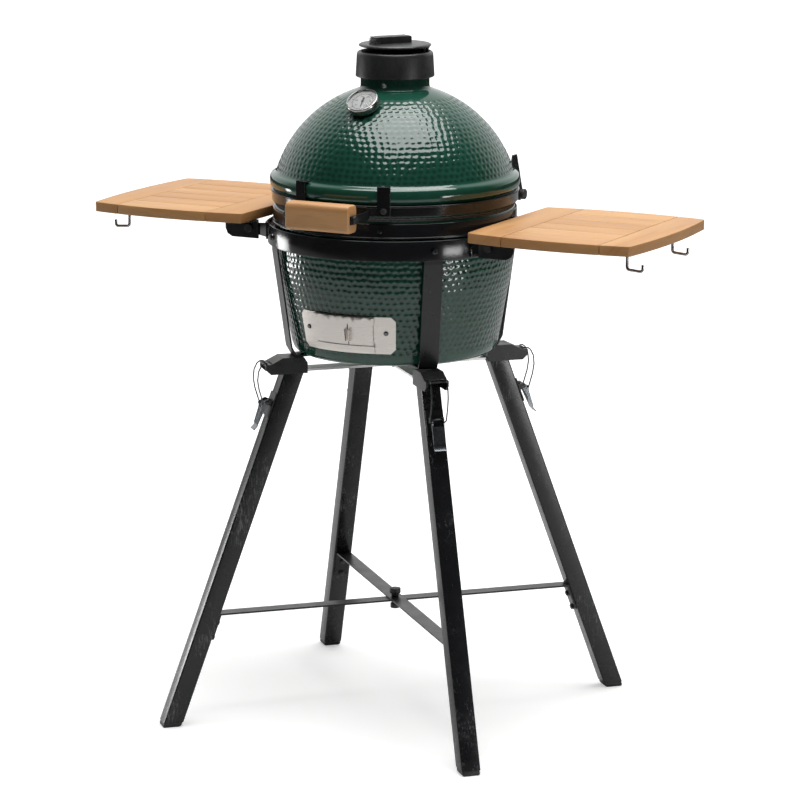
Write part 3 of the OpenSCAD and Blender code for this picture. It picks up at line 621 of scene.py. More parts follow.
def bent_wires(name, paths, wire, bend, look):
    """Round wire bent along each path of points in millimetres."""
    spots, edges = [], []
    for path in paths:
        edges += [(len(spots) + i, len(spots) + i + 1) for i in range(len(path) - 1)]
        spots += path
    return grown(name, points_mesh(name, spots, edges), wire_tree, {"Wire": wire * MM, "Bend": bend * MM, "Look": look})


LATCH_ALONG, LATCH_OUT, BAIL_REACH, BAIL_TURN = 573.0, LEG_WIDTH / 2 + 9, 9.0, math.radians(-40)
for quarter in range(4):
    lever = edged(f"lever_{quarter + 1}", f"latch_{quarter + 1}", lever_look, 0.3)
    in_place(lever, f"lever_{quarter + 1}", "lever_steel", f"latch_{quarter + 1}")
    into = leg_frame(quarter)
    turn = Matrix.Rotation(math.radians(45 + 90 * quarter), 4, "Z")
    hold = Vector((LATCH_OUT + BAIL_REACH * math.cos(BAIL_TURN), 0, LATCH_ALONG + BAIL_REACH * math.sin(BAIL_TURN)))
    radial = turn.inverted() @ into @ hold
    side = [(225.5, 613.45), (231.5, 613.6), (236.5, 610), (241.5, 600), (243, 585), (240.5, 569), (radial.x, radial.z)]
    path = [turn @ Vector((radial.x, -9.1, radial.z))]
    path += [turn @ Vector((r, -14, z)) for r, z in side[::-1]]
    path += [turn @ Vector((r, 14, z)) for r, z in side]
    path += [turn @ Vector((radial.x, 9.1, radial.z))]
    bail = bent_wires(f"bail_wire_{quarter + 1}", [path], 1.1, 6.0, wire_look)
    in_place(bail, f"wire_{quarter + 1}", "spring_steel", f"bail_{quarter + 1}")

# ---------------------------------------------------------------- ceramic base and dome
# Thick moulded ceramic under a deep green glaze. The mould is hammered all over, so the glaze pools in
# hundreds of shallow scoops, painted darker towards each scoop's middle: partly pooled glaze, partly painted shade.
# The rim, the neck and the foot are smooth. Inside, the clay is bare.
COLUMNS = 640
SCOOP_RADIUS, SCOOP_DEPTH, SCOOP_PITCH = 5.7, 0.85, 11.0

glaze_look, glaze_tree, glaze_shader = new_shader("green_glaze")
glaze_place = object_coords(glaze_tree)
pool_and_shade = add_node(glaze_tree, "ShaderNodeAttribute", attribute_name="pool_and_shade")
glaze_tone = graded(
    glaze_tree, speckle(glaze_tree, glaze_place, 14, 5, 0.6), [(0.3, (0.0080, 0.047, 0.030)), (0.72, (0.0125, 0.067, 0.044))]
)
# painted shade: the glaze is darkened towards the middle of each scoop, partly pooled glaze and partly painted shade
pooled_and_shaded = ranged(glaze_tree, pool_and_shade.outputs["Fac"], 0.0, 1.0, 0.0, 0.75)
glaze_tree.links.new(blended(glaze_tree, pooled_and_shaded, glaze_tone, (0.0030, 0.022, 0.015)), glaze_shader.inputs["Base Color"])
glaze_shader.inputs["Roughness"].default_value = 0.09
glaze_shader.inputs["IOR"].default_value = 1.52
glaze_shader.inputs["Specular IOR Level"].default_value = 0.55
raised(glaze_tree, glaze_shader, speckle(glaze_tree, glaze_place, 70, 3, 0.5), 0.12, 0.001)

clay_look, clay_tree, clay_shader = new_shader("bare_clay")
clay_place = object_coords(clay_tree)
clay_tree.links.new(
    graded(clay_tree, speckle(clay_tree, clay_place, 60, 6), [(0.3, (0.30, 0.235, 0.17)), (0.7, (0.46, 0.38, 0.29))]),
    clay_shader.inputs["Base Color"],
)
clay_shader.inputs["Roughness"].default_value = 0.9
raised(clay_tree, clay_shader, speckle(clay_tree, clay_place, 350, 4), 0.4)

scoop_tree, scoop_in, scoop_out = start_tree("hammered_scoops")
add_input(scoop_tree, "Centres", "NodeSocketObject")
add_input(scoop_tree, "Scoop radius", "NodeSocketFloat", 0.004)
add_input(scoop_tree, "Scoop depth", "NodeSocketFloat", 0.001)
centres_in = scoop_tree.nodes.new("GeometryNodeObjectInfo")
near = scoop_tree.nodes.new("GeometryNodeProximity")
near.target_element = "POINTS"


def geo_math(tree, operation, one, two=None):
    node = tree.nodes.new("ShaderNodeMath")
    node.operation = operation
    for socket, value in zip(node.inputs, (one, two)):
        if isinstance(value, (int, float)):
            socket.default_value = value
        elif value is not None:
            tree.links.new(value, socket)
    return node.outputs[0]


share = geo_math(scoop_tree, "DIVIDE", near.outputs["Distance"], scoop_in.outputs["Scoop radius"])
bowl = geo_math(scoop_tree, "SUBTRACT", 1.0, geo_math(scoop_tree, "MULTIPLY", share, share))
bowl = geo_math(scoop_tree, "POWER", geo_math(scoop_tree, "MAXIMUM", bowl, 0.0), 1.7)
bowl = geo_math(scoop_tree, "MULTIPLY", bowl, stored(scoop_tree, "zone", "FLOAT"))
# the scoop depth is stored on the points to darken the glaze there: partly pooled glaze, partly painted shade
keep = scoop_tree.nodes.new("GeometryNodeStoreNamedAttribute")
keep.data_type, keep.domain = "FLOAT", "POINT"
keep.inputs["Name"].default_value = "pool_and_shade"
push = scoop_tree.nodes.new("GeometryNodeSetPosition")
inward = scoop_tree.nodes.new("ShaderNodeVectorMath")
inward.operation = "SCALE"
scoop_tree.links.new(scoop_in.outputs["Centres"], centres_in.inputs["Object"])
scoop_tree.links.new(centres_in.outputs["Geometry"], near.inputs[0])
scoop_tree.links.new(scoop_in.outputs["Geometry"], keep.inputs["Geometry"])
scoop_tree.links.new(bowl, [s for s in keep.inputs if s.name == "Value" and s.enabled][0])
scoop_tree.links.new(keep.outputs["Geometry"], push.inputs["Geometry"])
scoop_tree.links.new(scoop_tree.nodes.new("GeometryNodeInputNormal").outputs[0], inward.inputs[0])
scoop_tree.links.new(
    geo_math(scoop_tree, "MULTIPLY", bowl, geo_math(scoop_tree, "MULTIPLY", scoop_in.outputs["Scoop depth"], -1.0)),
    inward.inputs["Scale"],
)
scoop_tree.links.new(inward.outputs[0], push.inputs["Offset"])
scoop_real = scoop_tree.nodes.new("GeometryNodeRealizeInstances")
scoop_tree.links.new(push.outputs["Geometry"], scoop_real.inputs["Geometry"])
scoop_tree.links.new(scoop_real.outputs["Geometry"], scoop_out.inputs["Geometry"])


def scoop_centres(name, wall, z0, z1, seed):
    """Points in staggered, shaken rows over a round wall. wall gives the radius at a height."""
    draw = np.random.default_rng(seed)
    spots, z, row = [], z0, 0.0
    while z < z1:
        radius = wall(z)
        slope = math.hypot(1.0, (wall(z + 0.5) - wall(z - 0.5)))
        count = max(8, int(round(2 * math.pi * radius / SCOOP_PITCH)))
        shift = row + draw.uniform(-0.08, 0.08)
        for i in range(count):
            a = 2 * math.pi * (i + shift + draw.uniform(-0.13, 0.13)) / count
            high = z + draw.uniform(-0.12, 0.12) * SCOOP_PITCH / slope
            near_wall = wall(high)
            spots.append((near_wall * math.cos(a), near_wall * math.sin(a), high))
        z += SCOOP_PITCH * 0.88 / slope
        row = 0.5 - row
    centres = bpy.data.objects.new(name, points_mesh(name, spots))
    bpy.context.scene.collection.objects.link(centres)
    return centres


def ceramic_wall(name, outline, glazed, zone, centres, window=None):
    """The closed outline carried round, with its hammered zone. The first glazed points are the outside.
    window is (half angle in degrees, low, high): the draft port, cut through both faces of the wall."""
    rows, points, zones = [], [], []
    for k, (radius, z) in enumerate(outline):
        if radius < 1e-6:
            rows.append([len(points)] * COLUMNS)
            points.append((0, 0, z))
            zones.append(0.0)
            continue
        rows.append(list(range(len(points), len(points) + COLUMNS)))
        for i in range(COLUMNS):
            a = 2 * math.pi * i / COLUMNS - math.pi / 2
            points.append((radius * math.cos(a), radius * math.sin(a), z))
            zones.append(zone(z) if k < glazed else 0.0)
    faces, bare = [], []
    cut_columns = int(round(window[0] / 360 * COLUMNS)) if window else 0
    open_rows = {True: [], False: []}
    for k in range(len(outline)):
        following = (k + 1) % len(outline)
        one, two = rows[k], rows[following]
        outside = k < glazed - 1
        in_window = window and all(window[1] - 0.01 <= outline[n][1] <= window[2] + 0.01 for n in (k, following)) and outline[k][0] > 100
        if in_window and outline[following][0] > 100:
            open_rows[outside].append((k, following))
        for i in range(COLUMNS):
            j = (i + 1) % COLUMNS
            from_front = i if i < COLUMNS / 2 else i - COLUMNS
            if in_window and -cut_columns <= from_front < cut_columns:
                continue
            corners = []
            for c in (one[i], one[j], two[j], two[i]):
                if c not in corners:
                    corners.append(c)
            if len(corners) > 2:
                faces.append(tuple(corners))
                bare.append(0 if outside or following < glazed else 1)
    if window:
        outer_rows = sorted({n for pair in open_rows[True] for n in pair}, key=lambda n: outline[n][1])
        inner_rows = sorted({n for pair in open_rows[False] for n in pair}, key=lambda n: outline[n][1])
        for side in (-cut_columns, cut_columns):
            for n in range(len(outer_rows) - 1):
                jamb = (outer_rows[n], outer_rows[n + 1], inner_rows[n + 1], inner_rows[n])
                faces.append(tuple(rows[r][side] for r in jamb))
                bare.append(1)
        for outer, inner in ((outer_rows[0], inner_rows[0]), (outer_rows[-1], inner_rows[-1])):
            for i in range(-cut_columns, cut_columns):
                faces.append((rows[outer][i], rows[outer][i + 1], rows[inner][i + 1], rows[inner][i]))
                bare.append(1)
    data = bpy.data.meshes.new(name)
    data.from_pydata([tuple(c * MM for c in p) for p in points], [], faces)
    data.materials.append(glaze_look)
    data.materials.append(clay_look)
    data.polygons.foreach_set("material_index", bare)
    form = bmesh.new()
    form.from_mesh(data)
    bmesh.ops.recalc_face_normals(form, faces=form.faces)
    form.to_mesh(data)
    form.free()
    data.attributes.new("zone", "FLOAT", "POINT").data.foreach_set("value", zones)
    piece = grown(name, data, scoop_tree, {"Centres": centres, "Scoop radius": SCOOP_RADIUS * MM, "Scoop depth": SCOOP_DEPTH * MM}, smooth=60)
    bpy.data.objects.remove(centres)
    return piece


def spread(low, high, step):
    count = max(1, int(round((high - low) / step)))
    return [low + (high - low) * i / count for i in range(count + 1)]


side_heights = [640, 726, 748, 771, 800, 830, 870]
side_radii = [172.7, 188.5, 193.0, 196.5, 199.0, 200.0, 200.0]


def side_radius(z):
    """The base's side: straight behind the draft door, then easing in to the rim."""
    return float(np.interp(z, side_heights, side_radii))


def bell(z, low, high, ease):
    """1 between two heights, easing to 0 past them."""
    return float(np.clip((z - low) / ease, 0, 1) * np.clip((high - z) / ease, 0, 1))


foot_curve = [(0, 625), (60, 625), (120, 625), (156, 625)]
foot_curve += [(156 + 15.4 * math.sin(t), 638.0 - 13.0 * math.cos(t)) for t in np.linspace(0.15, 1.45, 8)]
base_out = foot_curve + [(side_radius(z), z) for z in spread(640, 660, 1.65)[:-1] + spread(660, 700, 2.0)[:-1] + spread(700, 806, 1.7)]
base_out += [(199.6, 815), (200, 830), (200, 850), (200, 866), (199.6, 869.2), (198.6, 870)]
base_glazed = len(base_out)
base_in = [(180, 870), (178.4, 869.4), (178, 866), (177, 800), (167.5, 726)]
base_in += [(side_radius(z) - 21.5, z) for z in spread(660, 700, 2.0)[::-1]]
base_in += [(149, 655), (142, 651.6), (120, 651), (0, 651)]
base_points = scoop_centres("base_scoops", side_radius, 641, 808, 11)
base_piece = ceramic_wall(
    "glazed_base", base_out + base_in, base_glazed, lambda z: bell(z, 640.5, 806, 5), base_points, window=(14, 660, 700)
)
in_place(base_piece, "stand", "green_glaze", "base_shell")

BALL_RADIUS, BALL_CENTRE = 207.0, 864.0


def ball_radius(z):
    return math.sqrt(max(1.0, BALL_RADIUS**2 - (z - BALL_CENTRE) ** 2))


lip = [
    (200.5, 876.7), (202, 878.4), (202, 888), (202, 898.4), (203.4, 900.4), (205.6, 902), (207, 904),
    (207.8, 907), (207.9, 911), (207.7, 916), (206.9, 919.4), (205.2, 921.8), (202, 923.6), (198.6, 925.2),
]
low_angle, high_angle = math.asin((926.8 - BALL_CENTRE) / BALL_RADIUS), math.asin((1049 - BALL_CENTRE) / BALL_RADIUS)
arc_steps = int(round((high_angle - low_angle) * BALL_RADIUS / 1.62))
dome_arc = [low_angle + (high_angle - low_angle) * i / arc_steps for i in range(arc_steps + 1)]
dome_out = lip + [(BALL_RADIUS * math.cos(a), BALL_CENTRE + BALL_RADIUS * math.sin(a)) for a in dome_arc]
dome_out += [(ball_radius(z), z) for z in (1051, 1054, 1057, 1060)]
dome_out += [
    (61.5, 1061.6), (59.0, 1062.9), (58.2, 1064.0), (57.6, 1065.4), (57.1, 1067),
    (57, 1070), (57, 1078), (57, 1083.5), (56.4, 1084.7), (55.2, 1085),
]
dome_glazed = len(dome_out)
dome_in = [(46.5, 1085), (45.3, 1084.5), (45, 1083), (45, 1048)]
for degrees in (74.5, 68, 60, 52, 44, 36, 28, 20, 12, 5):
    t = math.radians(degrees)
    dome_in.append((185 * math.cos(t), BALL_CENTRE + 185 * math.sin(t)))
dome_in += [(185, 877.6), (186, 876.7)]
dome_points = scoop_centres("dome_scoops", ball_radius, 930, 1052, 5)
dome_piece = ceramic_wall("glazed_dome", dome_out + dome_in, dome_glazed, lambda z: bell(z, 927.5, 1051, 3), dome_points)
in_place(dome_piece, "lid", "green_glaze", "dome")

# ---------------------------------------------------------------- inside the base
# Bare fire-clay box and ring, a cast-iron grate under the coals, and a stainless grid to cook on.
in_place(edged("clay_fire_box", "fire_box", clay_look, 2.0), "stand", "fire_clay", "fire_box")
fire_ring_outline = soft_corners([(132, 800.05), (152, 800.05), (160, 812), (160, 860), (142, 860), (142, 814)], 3)
in_place(turned("clay_fire_ring", fire_ring_outline, clay_look, 128), "stand", "fire_clay", "fire_ring")
iron_look, iron_tree, iron_shader = new_shader("raw_iron")
iron_place = object_coords(iron_tree)
iron_tree.links.new(
    graded(iron_tree, speckle(iron_tree, iron_place, 90, 5), [(0.35, (0.018, 0.017, 0.016)), (0.8, (0.05, 0.043, 0.038))]),
    iron_shader.inputs["Base Color"],
)
iron_shader.inputs["Roughness"].default_value = 0.75
iron_shader.inputs["Metallic"].default_value = 0.3
raised(iron_tree, iron_shader, speckle(iron_tree, iron_place, 500, 4), 0.5)
in_place(edged("iron_grate", "fire_grate", iron_look, 0.8), "stand", "iron", "fire_grate")
steel_rod_look = plated("grid_rod", (0.62, 0.61, 0.59), 0.2)
GRID_R, GRID_Z = 156, 863.1  # the cooking grid's hoop


def grid_half(across):
    """Half the length of a grid wire at a distance from the middle."""
    return math.sqrt(GRID_R**2 - across * across)


grid_paths = [[(x, -grid_half(x), GRID_Z), (x, grid_half(x), GRID_Z)] for x in range(-144, 145, 12)]
hoop = [(GRID_R * math.cos(2 * math.pi * i / 96), GRID_R * math.sin(2 * math.pi * i / 96), GRID_Z) for i in range(97)]
grid_parts = [
    bent_wires("grid_bars", grid_paths, 2.0, 0.0, steel_rod_look),
    bent_wires("grid_hoop", [hoop], 3.0, 0.0, steel_rod_look),
    bent_wires("grid_ties", [[(-grid_half(y), y, 863.9), (grid_half(y), y, 863.9)] for y in (-60, 60)], 2.4, 0.0, steel_rod_look),
]
in_place(merged("cooking_grid_rods", grid_parts), "stand", "stainless", "cooking_grid")

# ---------------------------------------------------------------- draft door
# Brushed stainless sheet, rolled to the base's side: a frame with two folded rails, held by two screws, and
# two panels that slide sideways between the rails, each with a bent tab.


def brushed(name, colour, along=(4, 4, 240)):
    look, tree, shader = new_shader(name)
    lines = speckle(tree, object_coords(tree, along), 6, 4, 0.7)
    tree.links.new(
        graded(tree, lines, [(0.25, tuple(c * 0.82 for c in colour)), (0.75, colour)]), shader.inputs["Base Color"]
    )
    shader.inputs["Metallic"].default_value = 1.0
    tree.links.new(ranged(tree, lines, 0.3, 0.7, 0.24, 0.4), shader.inputs["Roughness"])
    raised(tree, shader, lines, 0.06, 0.0004)
    return look


door_look = brushed("brushed_stainless", (0.70, 0.655, 0.615))
in_place(edged("door_plate", "door_frame", door_look, 0.3), "stand", "stainless", "door_frame")
in_place(edged("door_left", "door_panel_left", door_look, 0.25), "draft_left", "stainless", "door_panel_left")
in_place(edged("door_right", "door_panel_right", door_look, 0.25), "draft_right", "stainless", "door_panel_right")
SCREW_Z = 683.5
screw_seats = [round_seat(a, side_radius(SCREW_Z) + 1.6, SCREW_Z, -0.184) for a in (-23, 23)]
screws = bolt_heads("door_screw_heads", screw_seats, 3.4, 1.5, bright_look, sides=24)
in_place(screws, "stand", "stainless", "door_screws")

# ---------------------------------------------------------------- rim clips and handle
# Two bent clips bolt to the upper band and hook over the dome's rim. They clamp the ends of the handle's
# bracket, whose arms carry a thick hardwood grip on a steel rod.
in_place(edged("rim_clips", "dome_clips", band_coat, 0.6), "lid", "powder_black", "dome_clips")
in_place(edged("handle_arms", "handle_bracket", stand_coat, 0.5), "lid", "powder_black", "handle_bracket")
in_place(edged("handle_rod_ends", "handle_rod", dark_look, 0.6), "lid", "dark_bolt", "handle_rod")


def oiled_wood(name, light, mid, dark):
    """Oiled hardwood. The grain runs along u of the piece's own map; tone and rim are stored on the boards. Faces
    marked rim are painted darker: on the boards' sides this is partly darker oiled edges, partly painted shade.
    """
    look, tree, shader = new_shader(name)
    uv = add_node(tree, "ShaderNodeUVMap")

    def stretched(scale):
        mapping = add_node(tree, "ShaderNodeMapping")
        mapping.inputs["Scale"].default_value = scale
        tree.links.new(uv.outputs["UV"], mapping.inputs["Vector"])
        return mapping.outputs["Vector"]

    broad = speckle(tree, stretched((3, 26, 1)), 1.0, 5, 0.6)
    wave = add_node(tree, "ShaderNodeTexWave", wave_type="BANDS", bands_direction="Y")
    wave.inputs["Scale"].default_value = 16
    wave.inputs["Distortion"].default_value = 7
    wave.inputs["Detail"].default_value = 4
    wave.inputs["Detail Scale"].default_value = 1.2
    tree.links.new(stretched((0.22, 1, 1)), wave.inputs["Vector"])
    pores = speckle(tree, stretched((18, 620, 1)), 1.0, 3, 0.6)
    base = graded(tree, broad, [(0.28, dark), (0.5, mid), (0.74, light)])
    lines = ranged(tree, wave.outputs["Fac"], 0.0, 1.0, 0.0, 0.42)
    base = blended(tree, lines, base, mid)
    base = blended(tree, ranged(tree, pores, 0.56, 0.75, 0.0, 0.45), base, tuple(c * 0.5 for c in dark))
    tone = add_node(tree, "ShaderNodeAttribute", attribute_name="tone")
    base = blended(tree, ranged(tree, tone.outputs["Fac"], 0.0, 1.0, 0.0, 0.55), base, dark)
    # painted shade: faces marked rim are darkened; on the boards' sides this is partly darker oiled edges, partly
    # painted shade
    rim = add_node(tree, "ShaderNodeAttribute", attribute_name="rim")
    base = blended(tree, ranged(tree, rim.outputs["Fac"], 0.0, 1.0, 0.0, 0.3), base, dark)
    tree.links.new(base, shader.inputs["Base Color"])
    tree.links.new(ranged(tree, broad, 0.3, 0.7, 0.42, 0.58), shader.inputs["Roughness"])
    raised(tree, shader, pores, 0.12, 0.0005)
    return look


def prism(name, loop, low, high, look, along, tone, edge, upright=None):
    """A board: a flat outline in millimetres raised from low to high, its edges rounded, its grain along a direction."""
    form = bmesh.new()
    lower = [form.verts.new((x * MM, y * MM, low * MM)) for x, y in loop]
    form.faces.new(lower[::-1])
    upper = [form.verts.new((x * MM, y * MM, high * MM)) for x, y in loop]
    form.faces.new(upper)
    for i in range(len(loop)):
        j = (i + 1) % len(loop)
        form.faces.new((lower[i], lower[j], upper[j], upper[i]))
    bmesh.ops.recalc_face_normals(form, faces=form.faces)
    sharp = [e for e in form.edges if e.calc_face_angle(0) > math.radians(25)]
    bmesh.ops.bevel(form, geom=sharp, offset=edge * MM, segments=3, profile=0.5, affect="EDGES", clamp_overlap=True)
    uv = form.loops.layers.uv.new("grain")
    tones = form.faces.layers.float.new("tone")
    rim_oil_and_shade_layer = form.faces.layers.float.new("rim")
    grain = Vector(along).normalized()
    across = Vector((-grain.y, grain.x, 0))
    for face in form.faces:
        face[tones] = tone
        # the sides are marked to be painted darker: partly darker oiled edges, partly painted shade
        face[rim_oil_and_shade_layer] = 1.0 if abs(face.normal.z) < 0.3 else 0.0
        for corner in face.loops:
            p = corner.vert.co
            corner[uv].uv = (p.dot(grain) + tone * 3.7, p.dot(across) + p.z * 0.9 + tone * 1.9)
        face.smooth = True
    if upright is not None:
        form.transform(upright)
    data = bpy.data.meshes.new(name)
    form.to_mesh(data)
    form.free()
    data.materials.append(look)
    data.set_sharp_from_angle(angle=math.radians(30))
    piece = bpy.data.objects.new(name, data)
    bpy.context.scene.collection.objects.link(piece)
    return piece


GRIP_LONG, GRIP_DEEP, GRIP_HIGH, GRIP_AHEAD, GRIP_Z = 115.0, 30.0, 45.0, 257.0, 883.0
grip_look = oiled_wood("grip_wood", (0.64, 0.37, 0.17), (0.53, 0.28, 0.115), (0.36, 0.165, 0.055))
# drawn with its length along x and its height along y, then stood up: y becomes z
grip_loop = []
for across, up in [(-1, -1), (1, -1), (1, 1), (-1, 1)]:
    for step in range(5):
        a = math.radians({(-1, -1): 180, (1, -1): 270, (1, 1): 0, (-1, 1): 90}[(across, up)] + 90 * step / 4)
        grip_loop.append((across * (GRIP_DEEP / 2 - 7) + 7 * math.cos(a), up * (GRIP_HIGH / 2 - 9) + 9 * math.sin(a)))
stand_up = Matrix(((0, 0, 1, 0), (1, 0, 0, -GRIP_AHEAD * MM), (0, 1, 0, GRIP_Z * MM), (0, 0, 0, 1)))
grip = prism("wooden_grip", grip_loop, -GRIP_LONG / 2, GRIP_LONG / 2, grip_look, (1, 0, 0), 0.1, 2.2)
grip_uv = grip.data.uv_layers["grain"].data
for loop in grip.data.loops:
    spot = grip.data.vertices[loop.vertex_index].co
    grip_uv[loop.index].uv = (spot.z, spot.y + spot.x * 0.8)
grip.data.transform(stand_up)
rim_mark = grip.data.attributes["rim"]
rim_mark.data.foreach_set("value", [1.0 if abs(f.normal.x) > 0.8 else 0.0 for f in grip.data.polygons])
in_place(grip, "lid", "grip_wood", "handle_grip")

# ---------------------------------------------------------------- lid hinge
# A bracket on each band, drilled for one steel shaft, with two coil springs on the shaft that balance the dome.
in_place(edged("hinge_lower_plate", "hinge_bracket_lower", band_coat, 0.5), "stand", "powder_black", "hinge_bracket_lower")
in_place(edged("hinge_upper_plate", "hinge_bracket_upper", band_coat, 0.5), "lid", "powder_black", "hinge_bracket_upper")
in_place(edged("hinge_pin", "hinge_shaft", dark_look, 0.8), "stand", "dark_bolt", "hinge_shaft")
HINGE_BEHIND, HINGE_Z = 245.0, 860.0

coil_tree, coil_in, coil_out = start_tree("coil_spring")
add_input(coil_tree, "Turns", "NodeSocketFloat", 10)
add_input(coil_tree, "Coil radius", "NodeSocketFloat", 0.0075)
add_input(coil_tree, "Length", "NodeSocketFloat", 0.045)
add_input(coil_tree, "Wire", "NodeSocketFloat", 0.002)
add_input(coil_tree, "Look", "NodeSocketMaterial")
spiral = coil_tree.nodes.new("GeometryNodeCurveSpiral")
spiral.inputs["Resolution"].default_value = 28
coil_section = coil_tree.nodes.new("GeometryNodeCurvePrimitiveCircle")
coil_section.inputs["Resolution"].default_value = 12
coil_sweep = coil_tree.nodes.new("GeometryNodeCurveToMesh")
coil_sweep.inputs["Fill Caps"].default_value = True
coils = coil_tree.nodes.new("GeometryNodeInstanceOnPoints")
coil_aim = coil_tree.nodes.new("FunctionNodeAlignRotationToVector")
coil_aim.axis = "Z"
coil_tree.links.new(coil_in.outputs["Turns"], spiral.inputs["Rotations"])
coil_tree.links.new(coil_in.outputs["Coil radius"], spiral.inputs["Start Radius"])
coil_tree.links.new(coil_in.outputs["Coil radius"], spiral.inputs["End Radius"])
coil_tree.links.new(coil_in.outputs["Length"], spiral.inputs["Height"])
coil_tree.links.new(coil_in.outputs["Wire"], coil_section.inputs["Radius"])
coil_tree.links.new(spiral.outputs["Curve"], coil_sweep.inputs["Curve"])
coil_tree.links.new(coil_section.outputs["Curve"], coil_sweep.inputs["Profile Curve"])
coil_tree.links.new(stored(coil_tree, "aim"), coil_aim.inputs["Vector"])
coil_tree.links.new(coil_in.outputs["Geometry"], coils.inputs["Points"])
coil_tree.links.new(coil_sweep.outputs["Mesh"], coils.inputs["Instance"])
coil_tree.links.new(coil_aim.outputs["Rotation"], coils.inputs["Rotation"])
finish_tree(coil_tree, coils.outputs["Instances"], coil_in, coil_out)
spring_look = plated("spring_wire", (0.34, 0.345, 0.35), 0.28)
spring_carrier = points_mesh("springs", [(28, HINGE_BEHIND, HINGE_Z), (-28, HINGE_BEHIND, HINGE_Z)], aim=[(1, 0, 0), (-1, 0, 0)])
springs = grown(
    "coil_springs",
    spring_carrier,
    coil_tree,
    {"Turns": 10.0, "Coil radius": 7.6 * MM, "Length": 47 * MM, "Wire": 2.05 * MM, "Look": spring_look},
)
in_place(springs, "stand", "spring_steel", "hinge_springs")

# ---------------------------------------------------------------- side shelves
# Oiled hardwood boards: two end boards with six slats tongued between them, sawn to a bulging outline and
# sanded. Steel arms carry each shelf on two pivot bolts, and flat plated hooks hang from its outer edge.
SHELF_IN, SHELF_OUT, SHELF_HALF, SHELF_LOW, SHELF_TOP = 208.0, 504.0, 165.0, 841.0, 857.5
FIRST_JOINT, SECOND_JOINT, END_GAP, SLAT_GAP = SHELF_IN + 65, SHELF_OUT - 60, 0.6, 1.0
shelf_look = oiled_wood("shelf_wood", (0.62, 0.385, 0.185), (0.52, 0.285, 0.115), (0.36, 0.165, 0.052))
# painted shade: the tongue shows only through the gaps between boards, so it gets a near-black wood that stands for the
# shade in those gaps
gap_shade_tongue_look = oiled_wood("tongue_painted_gap_shade", (0.16, 0.08, 0.03), (0.12, 0.055, 0.02), (0.08, 0.035, 0.012))


def shelf_outline():
    """The whole top, counter-clockwise, with bulging edges and rounded corners."""
    bulge = (((SHELF_OUT - SHELF_IN) / 2) ** 2 + 225) / 30
    middle = (SHELF_IN + SHELF_OUT) / 2

    def side(x):
        return math.sqrt(bulge**2 - (x - middle) ** 2) - (bulge - SHELF_HALF)

    def end(y):
        return SHELF_OUT - 1130 + math.sqrt(1130**2 - y * y)

    corner = []
    out_x = SHELF_OUT - 9.8
    corner += [(x, -side(x)) for x in np.linspace(SHELF_IN, out_x, 41)]
    corner += [(end(y), y) for y in np.linspace(-side(out_x), side(out_x), 25)[1:-1]]
    corner += [(x, side(x)) for x in np.linspace(out_x, SHELF_IN, 41)]
    loop = []
    for i, here in enumerate(corner):
        before, after = Vector(corner[i - 1]), Vector(corner[(i + 1) % len(corner)])
        spot = Vector(here)
        if (spot - before).angle(after - spot) > math.radians(30):
            reach = 6.0
            a, b = spot + (before - spot).normalized() * reach, spot + (after - spot).normalized() * reach
            for t in np.linspace(0, 1, 6):
                loop.append(tuple(a * (1 - t) ** 2 + spot * 2 * t * (1 - t) + b * t**2))
        else:
            loop.append(tuple(spot))
    return loop


def trimmed(loop, limit, axis, keep_low):
    """The part of a convex outline on one side of a straight cut."""
    result = []
    for i, here in enumerate(loop):
        after = loop[(i + 1) % len(loop)]
        inside = (here[axis] <= limit) == keep_low or here[axis] == limit
        after_in = (after[axis] <= limit) == keep_low or after[axis] == limit
        if inside:
            result.append(here)
        if inside != after_in:
            t = (limit - here[axis]) / (after[axis] - here[axis])
            result.append((here[0] + (after[0] - here[0]) * t, here[1] + (after[1] - here[1]) * t))
    clean = []
    for p in result:
        if not clean or math.dist(p, clean[-1]) > 0.3:
            clean.append(p)
    if math.dist(clean[0], clean[-1]) < 0.3:
        clean.pop()
    return clean


shelf_loop = shelf_outline()
slat_edges = [-200, -104, -52, 0, 52, 104, 200]
board_draw = np.random.default_rng(21)
for side, name in ((1, "right"), (-1, "left")):
    boards = []
    plan = [(SHELF_IN - 1, FIRST_JOINT, -200, 200, (0, 1, 0)), (SECOND_JOINT, SHELF_OUT + 1, -200, 200, (0, 1, 0))]
    plan += [(FIRST_JOINT, SECOND_JOINT, slat_edges[i], slat_edges[i + 1], (1, 0, 0)) for i in range(6)]
    for n, (x0, x1, y0, y1, grain) in enumerate(plan):
        loop = trimmed(trimmed(shelf_loop, x0 + END_GAP, 0, False), x1 - END_GAP, 0, True)
        loop = trimmed(trimmed(loop, y0 + SLAT_GAP, 1, False), y1 - SLAT_GAP, 1, True)
        if side < 0:
            loop = [(-x, y) for x, y in loop][::-1]
        boards.append(prism(f"board_{name}_{n}", loop, SHELF_LOW, SHELF_TOP, shelf_look, grain, float(board_draw.uniform(0, 1)), 1.1))
    tongue = [(SHELF_IN + 8, -143), (SHELF_OUT - 30, -143), (SHELF_OUT - 30, 143), (SHELF_IN + 8, 143)]
    if side < 0:
        tongue = [(-x, y) for x, y in tongue][::-1]
    # the near-black tongue is painted shade in the gaps between the boards
    boards.append(prism(f"tongue_{name}", tongue, SHELF_LOW + 3, SHELF_TOP - 4.5, gap_shade_tongue_look, (1, 0, 0), 1.0, 0.5))
    in_place(merged(f"shelf_boards_{name}", boards), f"{name}_shelf", "shelf_wood", f"shelf_{name}")
    arms = edged(f"shelf_arms_{name}", f"shelf_irons_{name}", stand_coat, 0.5, part=lambda c: abs(c.x) < 400)
    in_place(arms, f"{name}_shelf", "powder_black", f"shelf_irons_{name}")

